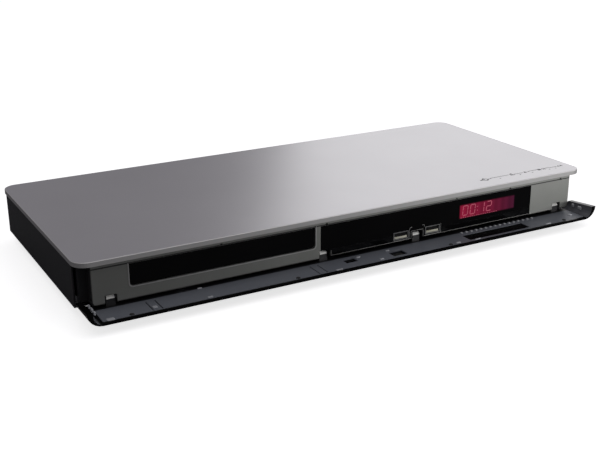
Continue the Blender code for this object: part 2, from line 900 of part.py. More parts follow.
# Flat cable from the front board back to the main board, in one smooth bend

cable_thick = 0.0004
cable_width = 0.0200
cable_share = 0.33
cable_x = around(along(main_board_x, cable_share), cable_width)
cable_rise = 0.0070
cable_steps = 10
cable_start = (front_board_y[1] + seat_gap, board_seat + cable_rise)
cable_end = (main_board_y[0] + board_inset, board_seat + cable_thick * half)


def cable_outline():
    lower = []
    upper = []
    for step in range(cable_steps + 1):
        share = step / cable_steps
        y = cable_start[0] + (cable_end[0] - cable_start[0]) * share
        ease = (1 - math.cos(math.pi * share)) * half
        z = cable_start[1] + (cable_end[1] - cable_start[1]) * ease
        lower.append((y, z - cable_thick * half))
        upper.append((y, z + cable_thick * half))
    return lower + upper[::-1]


piece("flat_cable", white_plastic, slab(cable_outline(), cable_x, "X"))

# Flap: a black shell with rounded ends, a grey liner with the arms, a window

flap_half = plate_width * half
flap_skin = 0.0010
flap_liner_thick = 0.0009
flap_bottom_drop = 0.0359
flap_end_radius = 0.0100
flap_end_wall = 0.0040
flap_end_rise = 0.0099
flap_rear = 0.0145
flap_lip = 0.0010
flap_bottom = top_z - flap_bottom_drop
flap_y = (front_y - flap_reach, front_y + flap_rear)
flap_floor_top = flap_bottom + flap_skin
liner_z = above(flap_floor_top + seat_gap, flap_liner_thick)
flap_top = flap_bottom + flap_end_rise
flap_inner_radius = flap_end_radius - flap_end_wall
inner_round_z = flap_floor_top + flap_inner_radius
round_x = flap_half - flap_end_radius
round_z = flap_bottom + flap_end_radius
end_turn = math.degrees(math.asin((round_z - flap_top) / flap_end_radius))
shell_outline = arc((-round_x, round_z), flap_end_radius, 180 + end_turn, 270, 6)
shell_outline += arc((round_x, round_z), flap_end_radius, 270, 360 - end_turn, 6)
shell_outline += [(round_x + flap_inner_radius, flap_top)]
shell_outline += arc((round_x, inner_round_z), flap_inner_radius, 0, -90, 5)
shell_outline += arc((-round_x, inner_round_z), flap_inner_radius, -90, -180, 5)
shell_outline += [(-round_x - flap_inner_radius, flap_top)]

end_slope_y = 0.0083
end_slope_drop = 0.0026
end_toe_y = 0.0140
end_toe_z = 0.0029
slope_outline = [
    (flap_y[0] - overrun, flap_top),
    (front_y + end_slope_y, flap_top - end_slope_drop),
    (front_y + end_toe_y, flap_bottom + end_toe_z),
    (flap_y[1] + overrun, flap_bottom + end_toe_z),
    (flap_y[1] + overrun, flap_top + overrun),
    (flap_y[0] - overrun, flap_top + overrun),
]
flap_window_extra = 0.0012
flap_window_x = widen(display_x, flap_window_extra)
flap_window_front = 0.0135
flap_window_length = 0.0100
flap_window_y = above(front_y - flap_window_front, flap_window_length)
flap_window_z = (flap_bottom + seat_gap, liner_z[1] - seat_gap)
window_cut = (widen(flap_window_x, seat_gap), widen(flap_window_y, seat_gap),
              widen((flap_bottom, liner_z[1]), overrun))
liner_end_gap = 0.0004
liner_x = (-round_x + liner_end_gap, round_x - liner_end_gap)
liner_y = (flap_y[0] + flap_lip + seat_gap, flap_y[1] - seat_gap)

flap_pivot = pivot("flap_hinge", (0, hinge_y, hinge_z))
piece(
    "flap_shell",
    gloss_black,
    slab(shell_outline, flap_y, "Y"),
    minus(slab(slope_outline, widen((-flap_half, flap_half), overrun), "X")),
    plus(block((-round_x, round_x), above(flap_y[0], flap_lip),
               (flap_bottom + flap_skin * half, liner_z[1]))),
    minus(block(*window_cut)),
    body=flap_pivot,
)

groove_width = 0.0008
groove_shares = (-0.7904, -0.7605, -0.2092, -0.1798)
groove_places = [flap_half * share for share in groove_shares]
groove_length = 0.0150
groove_front = 0.0155
groove_y = above(front_y - groove_front, groove_length)
pocket_small_share = -0.0614
pocket_small_width = 0.0095
pocket_small_x = around(flap_half * pocket_small_share, pocket_small_width)
pocket_small_front = 0.0080
pocket_small_length = 0.0068
pocket_large_share = 0.1188
pocket_large_width = 0.0117
pocket_large_x = around(flap_half * pocket_large_share, pocket_large_width)
pocket_large_front = 0.0133
pocket_large_length = 0.0085
tooth_width = 0.0016
tooth_height = 0.0006
tooth_length = 0.0022
tooth_pitch = 0.0046
tooth_count = 16
tooth_inset = 0.0022
tooth_front = 0.0006
arm_x = [around(x, hinge_arm_width) for x in hinge_places]
arm_outline = arc((hinge_y, hinge_z), hinge_eye, 0, 180, 8)
arm_outline += [(hinge_y - hinge_eye, liner_z[0] + flap_liner_thick * half),
                (hinge_y + hinge_eye, liner_z[0] + flap_liner_thick * half)]
liner_through = widen(liner_z, overrun)
liner_cuts = [(around(x, groove_width), groove_y, liner_through) for x in groove_places]
liner_cuts += [
    (pocket_small_x, above(front_y - pocket_small_front, pocket_small_length), liner_through),
    (pocket_large_x, above(front_y - pocket_large_front, pocket_large_length), liner_through),
    window_cut,
]
teeth = [(above(flap_window_x[0] + tooth_inset + number * tooth_pitch, tooth_width),
          above(front_y + tooth_front, tooth_length),
          (liner_z[1] - tooth_height * half, liner_z[1] + tooth_height)) for number in range(tooth_count)]


def arms():
    bm = bmesh.new()
    for reach in arm_x:
        slab_into(bm, arm_outline, reach, "X")
    return helper(bm)


piece(
    "flap_liner",
    liner_grey,
    block(liner_x, liner_y, liner_z),
    minus(blocks(liner_cuts)),
    plus(arms()),
    plus(blocks(teeth)),
    minus(rod((hinge_y, hinge_z), hinge_bore, widen(fascia_x, overrun), "X", 16)),
    body=flap_pivot,
)
piece("flap_window", smoked_window, block(flap_window_x, flap_window_y, flap_window_z), body=flap_pivot)

# Loader levels: the tray rides on ledges, below the clamp and over the traverse

disc_setback = 0.0720
disc_radius = 0.0600
disc_y = front_y + disc_setback
tray_rise = 0.0004
tray_low = tray_mouth_z[0] + tray_rise
skirt_height = 0.0024
bed_under = tray_low + skirt_height
bed_thick = 0.0014
rim_height = 0.0018
bed_top = bed_under + bed_thick
tray_top = bed_top + rim_height

# Gear teeth: involute flanks that run with the straight flanks of the rack

module = 0.0012
pressure_angle = math.radians(20)
addendum_share = 0.8
dedendum_share = 1.05
backlash = 0.0003
tooth_space = math.pi * module
thick_at_pitch = tooth_space * half - backlash * half


def involute(angle):
    return math.tan(angle) - angle


def gear_outline(centre, teeth_count, phase):
    """Spur gear with a tooth on the given angle, its flanks from root to tip."""
    pitch_radius = module * teeth_count * half
    base_radius = pitch_radius * math.cos(pressure_angle)
    root_radius = pitch_radius - dedendum_share * module
    tip_radius = pitch_radius + addendum_share * module
    half_tooth = thick_at_pitch * half / pitch_radius + involute(pressure_angle)
    rising = []
    for radius in (base_radius, pitch_radius, tip_radius):
        turn = involute(math.acos(min(1, base_radius / radius)))
        rising.append((radius, half_tooth - turn))
    if root_radius < base_radius:
        rising.insert(0, (root_radius, half_tooth))
    else:
        rising[0] = (root_radius, half_tooth - involute(math.acos(base_radius / root_radius)))
    outline = []
    for tooth in range(teeth_count):
        middle_angle = phase + math.tau * tooth / teeth_count
        flank = [(radius, middle_angle - turn) for radius, turn in rising]
        flank += [(radius, middle_angle + turn) for radius, turn in rising[::-1]]
        for radius, angle in flank:
            outline.append((centre[0] + radius * math.cos(angle), centre[1] + radius * math.sin(angle)))
    return outline


rack_gear_teeth = 15
wheel_teeth = 22
pinion_teeth = 14
rack_inset = 0.0071
rack_pitch_x = drive_x + tray_half_width - rack_inset
rack_gear_radius = module * rack_gear_teeth * half
gear_setback = 0.0270
gear_centre = (rack_pitch_x - rack_gear_radius, front_y + gear_setback)
pinion_angle = math.radians(166)
train_distance = module * (wheel_teeth + pinion_teeth) * half
pinion_centre = (gear_centre[0] + train_distance * math.cos(pinion_angle),
                 gear_centre[1] + train_distance * math.sin(pinion_angle))
post_radius = 0.0015
gear_bore = post_radius + seat_gap

# Tray: the disc bed with its slot, side skirts and the rack on the right one

tray_front_gap = 0.0035
tray_rear_gap = 0.0201
tray_corner = 0.0030
tray_x = around(drive_x, 2 * tray_half_width)
tray_y = (front_y + fascia_setback + tray_front_gap, body_rear - tray_rear_gap)
disc_clearance = 0.0008
small_disc_radius = 0.0400
small_step = 0.0006
slot_radius = 0.0170
slot_reach = 0.0770
skirt_width = 0.0030
skirt_inset = 0.0015
front_wall_height = 0.0110
front_wall_thick = 0.0020
front_wall_inset = 0.0035
rack_front_gap = 0.0060
rack_z = (tray_low, bed_under + bed_thick * half)
skirt_y = (tray_y[0] + skirt_inset, tray_y[1] - skirt_inset)
tooth_tip = rack_pitch_x - addendum_share * module
tooth_root = rack_pitch_x + dedendum_share * module
rack_teeth = int((tray_y[1] - rack_front_gap - gear_centre[1]) / tooth_space + half)
rack_before = int((gear_centre[1] - tray_y[0] - rack_front_gap) / tooth_space)


def rack_outline():
    """Straight-flanked teeth towards the gear, a gap between two teeth beside it."""
    lean = math.tan(pressure_angle)
    at_tip = thick_at_pitch * half - addendum_share * module * lean
    at_root = thick_at_pitch * half + dedendum_share * module * lean
    back_x = tray_x[1] - skirt_width * half
    start = gear_centre[1] - (rack_before + half) * tooth_space
    outline = [(back_x, start - tooth_space * half)]
    outline.append((tooth_root, start - tooth_space * half))
    for number in range(rack_before + rack_teeth):
        y = start + number * tooth_space
        outline += [(tooth_root, y - at_root), (tooth_tip, y - at_tip),
                    (tooth_tip, y + at_tip), (tooth_root, y + at_root)]
    end = start + (rack_before + rack_teeth - half) * tooth_space
    outline += [(tooth_root, end), (back_x, end)]
    return outline


slot_end = disc_y + slot_reach
slot_outline = arc((drive_x, disc_y), slot_radius, 180, 360, 12)
slot_outline += [(drive_x + slot_radius, slot_end), (drive_x - slot_radius, slot_end)]
skirts = [(span, skirt_y, (tray_low, bed_under + bed_thick * half))
          for span in (above(tray_x[0], skirt_width), below(tray_x[1], skirt_width))]
front_wall = (widen(tray_x, -front_wall_inset), above(tray_y[0], front_wall_thick),
              above(tray_low, front_wall_height))

tray_pivot = pivot("tray_slide", (drive_x, tray_y[0], tray_low))
piece(
    "tray",
    black_plastic,
    slab(rounded(tray_x, tray_y, tray_corner, 4), (bed_under, tray_top)),
    minus(rod((drive_x, disc_y), disc_radius + disc_clearance, (bed_top, tray_top + overrun), sides=64)),
    minus(rod((drive_x, disc_y), small_disc_radius + disc_clearance,
              (bed_top - small_step, bed_top + overrun), sides=48)),
    plus(blocks(skirts)),
    plus(slab(rack_outline(), rack_z)),
    plus(block(*front_wall)),
    minus(slab(slot_outline, (tray_low - overrun, tray_top + overrun))),
    body=tray_pivot,
)

tray_front_thick = 0.0022
tray_front_clear = 0.0006
tray_front_y = below(tray_y[0] - seat_gap, tray_front_thick)
tray_front_outline = [(tray_mouth_x[1] - tray_front_clear, tray_mouth_z[1] - tray_front_clear),
                      (tray_mouth_x[0] + tray_front_clear, tray_mouth_z[1] - tray_front_clear)]
tray_front_outline += arc((tray_mouth_x[0] + tray_mouth_corner, tray_mouth_z[0] + tray_mouth_corner),
                          tray_mouth_corner - tray_front_clear, 180, 270, 4)
tray_front_outline += arc((tray_mouth_x[1] - tray_mouth_corner, tray_mouth_z[0] + tray_mouth_corner),
                          tray_mouth_corner - tray_front_clear, 270, 360, 4)
piece("tray_front", gloss_black, slab(tray_front_outline, tray_front_y, "Y"), body=tray_pivot)

# Traverse levels, drawn level as when a disc plays, then tilted down at rest

lift_angle = math.radians(4.5)
traverse_rear_gap = 0.0236
traverse_hinge_y = body_rear - traverse_rear_gap
traverse_thick = 0.0012
platter_top = tray_top + running_gap
traverse_drop = 0.0028
traverse_top = bed_under - traverse_drop
traverse_z = below(traverse_top, traverse_thick)
traverse_hinge_z = middle(traverse_z)
traverse_left = 0.0360
traverse_right = 0.0390
traverse_front = 0.0180
traverse_rear = 0.0040
traverse_x = (drive_x - traverse_left, drive_x + traverse_right)
traverse_y = (disc_y - traverse_front, traverse_hinge_y + traverse_rear)
trunnion_radius = 0.0020
trunnion_length = 0.0050
trunnion_bore = trunnion_radius + seat_gap

# Loader frame: side walls with ledges, decks, gear posts and hinge bosses

loader_lip_reach = 0.0055
ledge_height = 0.0020
ledge_reach = 0.0025
deck_drop = 0.0045
deck_thick = 0.0015
deck_length = 0.0380
deck_front = 0.0122
loader_rear_gap = 0.0153
lip_length = 0.0120
lip_thick = 0.0015
lip_shares = (0.05, 0.55)
stop_length = 0.0070
stop_gap_y = 0.0010
rear_beam_height = 0.0110
floor_bar = 0.0015
ledge_top = tray_low - seat_gap
deck_z = below(ledge_top - deck_drop, deck_thick)
deck_y = above(front_y + deck_front, deck_length)
loader_y = (body_front + seat_gap, body_rear - loader_rear_gap)
lip_z = above(tray_top + seat_gap, lip_thick)
loader_walls = [(span, loader_y, (floor_z, lip_z[1]))
                for span in (above(loader_x[0], loader_wall), below(loader_x[1], loader_wall))]
ledge_y = (deck_y[0], loader_y[1] - seat_gap)
ledge_spans = ((loader_x[0] + loader_wall * half, tray_x[0] + ledge_reach),
               (tray_x[1] - ledge_reach, loader_x[1] - loader_wall * half))
ledges = [(span, ledge_y, below(ledge_top, ledge_height)) for span in ledge_spans]
lips = []
for share in lip_shares:
    lip_y = above(along(loader_y, share), lip_length)
    lips.append(((loader_x[0] + loader_wall * half, loader_x[0] + loader_lip_reach + loader_wall),
                 lip_y, lip_z))
    lips.append(((loader_x[1] - loader_lip_reach - loader_wall, loader_x[1] - loader_wall * half),
                 lip_y, lip_z))

# The traverse's front edge lies lowest at rest, and its stop bar is just below it
edge_reach = traverse_hinge_y - traverse_y[0]
edge_depth = traverse_hinge_z - traverse_z[0]
edge_low = traverse_hinge_z - edge_reach * math.sin(lift_angle) - edge_depth * math.cos(lift_angle)
stop_top = edge_low - seat_gap
stop_bar = (loader_x, above(traverse_y[0] - stop_gap_y - stop_length * half, stop_length),
            (floor_z, stop_top))
rear_bar = (loader_x, below(loader_y[1], 2 * stop_length), above(floor_z, floor_bar))
rear_beam = (loader_x, below(loader_y[1], loader_wall), above(floor_z, rear_beam_height))
hinge_boss = 0.0050
hinge_boss_gap = 0.0010
hinge_boss_top = 0.0006
boss_y = around(traverse_hinge_y, 2 * (trunnion_bore + stop_gap_y))
traverse_boss_z = (floor_z, traverse_hinge_z + trunnion_bore + hinge_boss_top)
traverse_bosses = [
    (below(traverse_x[0] - hinge_boss_gap, hinge_boss), boss_y, traverse_boss_z),
    (above(traverse_x[1] + hinge_boss_gap, hinge_boss), boss_y, traverse_boss_z),
]

# Loading motor and belt drive

motor_radius = 0.0120
motor_edge = 0.0010
motor_setback = 0.0300
motor_offset = 0.0286
motor_x = drive_x - motor_offset
motor_shaft = 0.0008
motor_centre = (motor_x, front_y + motor_setback)
belt_thick = 0.0010
belt_height = 0.0008
groove_height = belt_height + 2 * seat_gap
flange_thick = 0.0006
pulley_groove = 0.0092
motor_groove = 0.0022
pulley_rim = 0.0014
pulley_headroom = 0.0012
pulley_top = bed_under - pulley_headroom
groove_z = (pulley_top - flange_thick - groove_height, pulley_top - flange_thick)
pulley_low = groove_z[0] - flange_thick
gear_seat = deck_z[1] + seat_gap
wheel_thick = 0.0018
pinion_z = (gear_seat, pulley_low + flange_thick * half)
upper_gear_z = (ledge_top + 2 * seat_gap, bed_under - seat_gap)
gear_top = bed_under - seat_gap
drive_post_top = gear_top - seat_gap

piece(
    "loader_frame",
    black_plastic,
    block(loader_x, deck_y, deck_z),
    minus(rod(motor_centre, motor_radius + seat_gap, widen(deck_z, overrun), sides=28)),
    plus(blocks(loader_walls)),
    plus(blocks(ledges)),
    plus(blocks(lips)),
    plus(block(*stop_bar)),
    plus(block(*rear_bar)),
    plus(block(*rear_beam)),
    plus(blocks(traverse_bosses)),
    plus(rod(gear_centre, post_radius, (middle(deck_z), drive_post_top), sides=14)),
    plus(rod(pinion_centre, post_radius, (middle(deck_z), pulley_top), sides=14)),
    minus(rod((traverse_hinge_y, traverse_hinge_z), trunnion_bore,
              widen(loader_x, -loader_side_gap), "X", 18)),
)

motor_top = pulley_low - 2 * seat_gap
shaft_top = pulley_top + seat_gap
motor_profile = [
    (0, floor_z),
    (motor_radius - motor_edge, floor_z),
    (motor_radius, floor_z + motor_edge),
    (motor_radius, motor_top - motor_edge),
    (motor_radius - motor_edge, motor_top),
    (motor_shaft, motor_top),
    (motor_shaft, shaft_top),
    (0, shaft_top),
]
piece("loading_motor", bare_steel, turned(motor_profile, motor_centre, sides=28))

motor_bore = motor_shaft + seat_gap
motor_pulley_profile = [
    (motor_bore, pulley_low),
    (motor_groove + pulley_rim, pulley_low),
    (motor_groove + pulley_rim, groove_z[0]),
    (motor_groove, groove_z[0]),
    (motor_groove, groove_z[1]),
    (motor_groove + pulley_rim, groove_z[1]),
    (motor_groove + pulley_rim, pulley_top),
    (motor_bore, pulley_top),
]
motor_pivot = pivot("motor_pulley_spin", (*motor_centre, pulley_low))
piece("motor_pulley", white_plastic, turned(motor_pulley_profile, motor_centre, sides=18), body=motor_pivot)


def belt_outline(offset):
    """The two pulley circles joined by their outer tangents."""
    big = pulley_groove + seat_gap + offset
    small = motor_groove + seat_gap + offset
    dx = pinion_centre[0] - motor_centre[0]
    dy = pinion_centre[1] - motor_centre[1]
    heading = math.degrees(math.atan2(dy, dx))
    lean = math.degrees(math.acos((big - small) / math.hypot(dx, dy)))
    points = arc(pinion_centre, big, heading - 180 + lean, heading + 180 - lean, 18)
    points += arc(motor_centre, small, heading + 180 - lean, heading + 180 + lean, 8)
    return points


belt_z = widen(groove_z, -seat_gap)
piece(
    "drive_belt",
    rubber,
    slab(belt_outline(belt_thick), belt_z),
    minus(slab(belt_outline(0), widen(belt_z, overrun))),
)

pinion_phase = pinion_angle + math.pi + math.pi / pinion_teeth
pulley_profile = [
    (gear_bore, pulley_low),
    (pulley_groove + pulley_rim, pulley_low),
    (pulley_groove + pulley_rim, groove_z[0]),
    (pulley_groove, groove_z[0]),
    (pulley_groove, groove_z[1]),
    (pulley_groove + pulley_rim, groove_z[1]),
    (pulley_groove + pulley_rim, pulley_top),
    (gear_bore, pulley_top),
]
pinion_pivot = pivot("pulley_gear_spin", (*pinion_centre, gear_seat))
piece(
    "pulley_gear",
    white_plastic,
    slab(gear_outline(pinion_centre, pinion_teeth, pinion_phase), pinion_z),
    minus(rod(pinion_centre, gear_bore, widen(pinion_z, overrun), sides=18)),
    plus(turned(pulley_profile, pinion_centre, sides=30)),
    body=pinion_pivot,
)

gear_hub = 0.0050
wheel_z = above(gear_seat, wheel_thick)
gear_pivot = pivot("drive_gear_spin", (*gear_centre, gear_seat))
piece(
    "drive_gear",
    white_plastic,
    slab(gear_outline(gear_centre, wheel_teeth, pinion_angle), wheel_z),
    plus(rod(gear_centre, gear_hub, (middle(wheel_z), middle(upper_gear_z)), sides=24)),
    plus(slab(gear_outline(gear_centre, rack_gear_teeth, 0), upper_gear_z)),
    minus(rod(gear_centre, gear_bore, (gear_seat - overrun, gear_top + overrun), sides=18)),
    body=gear_pivot,
)

# Traverse frame: carries the spindle motor, the rods and the feed screw

traverse_pivot = pivot("traverse_lift", (drive_x, traverse_hinge_y, traverse_hinge_z))
spindle_motor_radius = 0.0130
rod_radius = 0.00125
rod_spread = 0.0480
rod_rise = 0.0003
rod_hole = rod_radius + seat_gap
rod_z = traverse_top + rod_rise
lens_start = 0.0240
sled_travel = 0.0340
sled_front = 0.0095
sled_back = 0.0160
lens_y = disc_y + lens_start
sled_y = (lens_y - sled_front, lens_y + sled_back)
run_gap = 0.0006
window_left = 0.0285
window_right = 0.0350
well_y = (sled_y[0] - run_gap, sled_y[1] + sled_travel + run_gap)
rod_block = 0.0036
rod_block_width = 0.0060
rod_block_wall = 0.0006
rod_block_z = (traverse_z[0], rod_z + rod_hole + rod_block_wall)
rod_places = [(drive_x + side * rod_spread * half, rod_z) for side in (-1, 1)]
rod_y = (well_y[0] - rod_block, well_y[1] + rod_block)
rod_blocks = []
for x, _ in rod_places:
    rod_blocks.append((around(x, rod_block_width), below(well_y[0], rod_block), rod_block_z))
    rod_blocks.append((around(x, rod_block_width), above(well_y[1], rod_block), rod_block_z))
screw_radius = 0.0013
screw_offset = 0.0320
feed_x = drive_x + screw_offset
feed_drop = 0.0006
feed_z = traverse_z[0] - feed_drop
feed_motor_radius = 0.0036
feed_motor_length = 0.0100
feed_wall = 0.0012
feed_hole = screw_radius + seat_gap
feed_motor_y = below(well_y[1] + rod_block, feed_motor_length)
feed_wall_y = below(feed_motor_y[0] - seat_gap, feed_wall)
feed_front_y = above(well_y[0], feed_wall)
feed_wall_x = (feed_x - feed_motor_radius, traverse_x[1] - traverse_thick)
feed_walls = [(feed_wall_x, span, (feed_z - feed_hole - rod_block_wall, traverse_top))
              for span in (feed_wall_y, feed_front_y)]
well_cut = ((drive_x - window_left, drive_x + window_right), well_y,
            widen(traverse_z, overrun))
motor_bay = (around(feed_x, 2 * (feed_motor_radius + seat_gap)),
             (feed_wall_y[0], feed_motor_y[1] + seat_gap), widen(traverse_z, overrun))
trunnions = [(traverse_x[0] - trunnion_length, traverse_x[0] + trunnion_length),
             (traverse_x[1] - trunnion_length, traverse_x[1] + trunnion_length)]


def trunnion_shapes():
    bm = bmesh.new()
    outline = circle((traverse_hinge_y, traverse_hinge_z), trunnion_radius, 16)
    for reach in trunnions:
        slab_into(bm, outline, reach, "X")
    return helper(bm)


piece(
    "traverse_frame",
    bare_steel,
    slab(rounded(traverse_x, traverse_y, tray_corner, 4), traverse_z),
    minus(rod((drive_x, disc_y), spindle_motor_radius + seat_gap, widen(traverse_z, overrun), sides=32)),
    minus(block(*well_cut)),
    minus(block(*motor_bay)),
    plus(blocks(rod_blocks)),
    plus(blocks(feed_walls)),
    plus(trunnion_shapes()),
    minus(rods(rod_places, rod_hole, widen(rod_y, overrun), "Y", 16)),
    minus(rod((feed_x, feed_z), feed_hole, (feed_front_y[0] - overrun, feed_wall_y[1] + overrun), "Y", 14)),
    body=traverse_pivot,
)
for side, place in zip(("left", "right"), rod_places):
    piece(f"guide_rod_{side}", bright_metal, rod(place, rod_radius, rod_y, "Y", 14), body=traverse_pivot)

feed_pivot = pivot("feed_screw_spin", (feed_x, feed_front_y[0], feed_z), traverse_pivot)
feed_y = (feed_front_y[0], feed_motor_y[0] - seat_gap)
piece("feed_screw", bright_metal, rod((feed_x, feed_z), screw_radius, feed_y, "Y", 14), body=feed_pivot)
piece(
    "feed_motor",
    bare_steel,
    rod((feed_x, feed_z), feed_motor_radius, feed_motor_y, "Y", 20),
    body=traverse_pivot,
)

# Spindle motor and turntable

spindle_low = 0.0004
spindle_flange = 0.0140
spindle_flange_thick = 0.0008
spindle_shaft = 0.0010
platter_radius = 0.0150
platter_thick = 0.0016
hub_radius = 0.0074
hub_height = 0.0020
hub_taper = 0.0022
shaft_reach = 0.0030
platter_z = below(platter_top, platter_thick)
spindle_bore = spindle_shaft + seat_gap
spindle_top = platter_z[0] - running_gap
flange_z = above(traverse_top + seat_gap, spindle_flange_thick)
shaft_z = (platter_z[0] - shaft_reach, platter_z[0])
spindle_profile = [
    (0, traverse_z[0] - spindle_low),
    (spindle_motor_radius, traverse_z[0] - spindle_low),
    (spindle_motor_radius, flange_z[0]),
    (spindle_flange, flange_z[0]),
    (spindle_flange, flange_z[1]),
    (spindle_motor_radius, flange_z[1]),
    (spindle_motor_radius, spindle_top),
    (spindle_bore, spindle_top),
    (spindle_bore, shaft_z[0] - seat_gap),
    (0, shaft_z[0] - seat_gap),
]
piece("spindle_motor", bare_steel, turned(spindle_profile, (drive_x, disc_y)), body=traverse_pivot)

turntable_pivot = pivot("turntable_spin", (drive_x, disc_y, platter_top), traverse_pivot)
platter_rim = 0.0030
platter_step = 0.0004
turntable_profile = [
    (0, shaft_z[0]),
    (spindle_shaft, shaft_z[0]),
    (spindle_shaft, platter_z[0]),
    (platter_radius, platter_z[0]),
    (platter_radius, platter_top),
    (platter_radius - platter_rim, platter_top),
    (platter_radius - platter_rim, platter_top - platter_step),
    (hub_radius, platter_top - platter_step),
    (hub_radius, platter_top),
    (hub_radius - hub_taper, platter_top + hub_height),
    (0, platter_top + hub_height),
]
piece("turntable", black_plastic, turned(turntable_profile, (drive_x, disc_y)), body=turntable_pivot)

# Pickup sled on the two rods, with its lens in a sprung holder

sled_pivot = pivot("sled_slide", (drive_x, lens_y, rod_z), traverse_pivot)
sled_reach = 0.0270
sled_under = 0.0012
sled_roof = 0.0005
head_reach = 0.0140
head_drop = 0.0021
lens_radius = 0.0030
lens_dome = 0.0006
holder_size = 0.0100
holder_thick = 0.0016
holder_gap = 0.0006
lens_headroom = 0.0018
lens_top = platter_top - lens_headroom
head_top = lens_top - lens_dome - holder_gap * half
sled_z = (traverse_z[0] - sled_under, bed_under - sled_roof)
holder_z = below(lens_top - lens_dome, holder_thick)
holder_floor = holder_z[0] - holder_gap
nut_reach = 0.0330
nut_length = 0.0040
nut_z = (feed_z + screw_radius + seat_gap, sled_z[1] - sled_roof)
head_y = (sled_y[0] + running_gap, sled_y[1] - rod_block)
sled_outline = [
    (drive_x - sled_reach, sled_y[0]),
    (drive_x + sled_reach, sled_y[0]),
    (drive_x + sled_reach, sled_y[1] - rod_block),
    (drive_x + head_reach, sled_y[1]),
    (drive_x - head_reach, sled_y[1]),
    (drive_x - sled_reach, sled_y[1] - rod_block),
]
holder_hole = (around(drive_x, holder_size + 2 * holder_gap), around(lens_y, holder_size + 2 * holder_gap),
               (holder_floor, head_top + overrun))
piece(
    "pickup_sled",
    black_plastic,
    slab(sled_outline, sled_z),
    plus(block(around(drive_x, 2 * head_reach), head_y, (sled_z[1] - head_drop, head_top))),
    minus(rods(rod_places, rod_hole, widen(sled_y, overrun), "Y", 16)),
    plus(block((drive_x + sled_reach - running_gap, drive_x + nut_reach),
               around(lens_y, nut_length), nut_z)),
    minus(block(*holder_hole)),
    body=sled_pivot,
)

lens_pivot = pivot("lens_focus", (drive_x, lens_y, lens_top), sled_pivot)
lens_steps = 4
lens_profile = [(0, middle(holder_z)), (lens_radius, middle(holder_z))]
lens_profile += [(lens_radius * math.cos(angle), holder_z[1] + lens_dome * math.sin(angle))
                 for angle in [math.pi * half * step / lens_steps for step in range(lens_steps + 1)]]
lens_profile[-1] = (0, lens_top)
piece(
    "objective_lens",
    clear_lens,
    slab(rounded(around(drive_x, holder_size), around(lens_y, holder_size), lens_dome, 3), holder_z),
    plus(turned(lens_profile, (drive_x, lens_y), sides=20)),
    body=lens_pivot,
)

# Clamp bridge over the tray, and the puck that hangs loose in it

clamp_gap = 0.0007
puck_radius = 0.0150
puck_thick = 0.0024
puck_neck = 0.0120
puck_travel = 0.0010
puck_play = 0.0004
puck_flange = 0.0160
puck_flange_thick = 0.0012
puck_recess = 0.0082
puck_recess_depth = 0.0026
bridge_thick = 0.0012
bridge_width = 0.0240
bridge_ring = 0.0200
bridge_hole = puck_neck + running_gap
puck_low = platter_top + clamp_gap
bridge_z = above(puck_low + puck_thick + puck_travel + puck_play, bridge_thick)
bridge_leg_z = (lip_z[1] + seat_gap, bridge_z[0] + bridge_thick * half)
bridge_y = around(disc_y, bridge_width)
bridge_legs = [(span, bridge_y, bridge_leg_z)
               for span in (above(loader_x[0], loader_wall), below(loader_x[1], loader_wall))]
bridge_fold = 0.0012
fold_height = 0.0024
fold_spans = ((loader_x[0], drive_x - bridge_ring), (drive_x + bridge_ring, loader_x[1]))
folds = [(x, y, (middle(bridge_z), bridge_z[1] + fold_height)) for x in fold_spans
         for y in (above(bridge_y[0], bridge_fold), below(bridge_y[1], bridge_fold))]
flange_seat = bridge_z[1] + seat_gap
piece(
    "clamp_bridge",
    bare_steel,
    block(loader_x, bridge_y, bridge_z),
    plus(blocks(bridge_legs)),
    plus(blocks(folds)),
    plus(rod((drive_x, disc_y), bridge_ring, bridge_z, sides=36)),
    minus(rod((drive_x, disc_y), bridge_hole, widen(bridge_z, overrun), sides=32)),
)

puck_pivot = pivot("clamp_lift", (drive_x, disc_y, puck_low))
puck_profile = [
    (0, puck_low + puck_recess_depth),
    (puck_recess, puck_low + puck_recess_depth),
    (puck_recess, puck_low),
    (puck_radius, puck_low),
    (puck_radius, puck_low + puck_thick),
    (puck_neck, puck_low + puck_thick),
    (puck_neck, flange_seat),
    (puck_flange, flange_seat),
    (puck_flange, flange_seat + puck_flange_thick),
    (0, flange_seat + puck_flange_thick),
]
piece("clamp_puck", white_plastic, turned(puck_profile, (drive_x, disc_y), sides=30), body=puck_pivot)

# At rest with the tray free to move, the traverse hangs down at its front
traverse_pivot.rotation_euler = (lift_angle, 0, 0)
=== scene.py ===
# %% [markdown]
# # A slim disc player with its front flap open
# This lesson dresses a finished set of solids: it brings them in, gives each one
# the finish that the real piece has, and adds the small things that solids leave
# out, such as printed marks, screws, contacts and trim lines. The solids never
# move, so every new piece takes its place from their measured corners.

# %% Bring in the solids
import json
import math

import bmesh
import bpy
from mathutils import Matrix, Vector


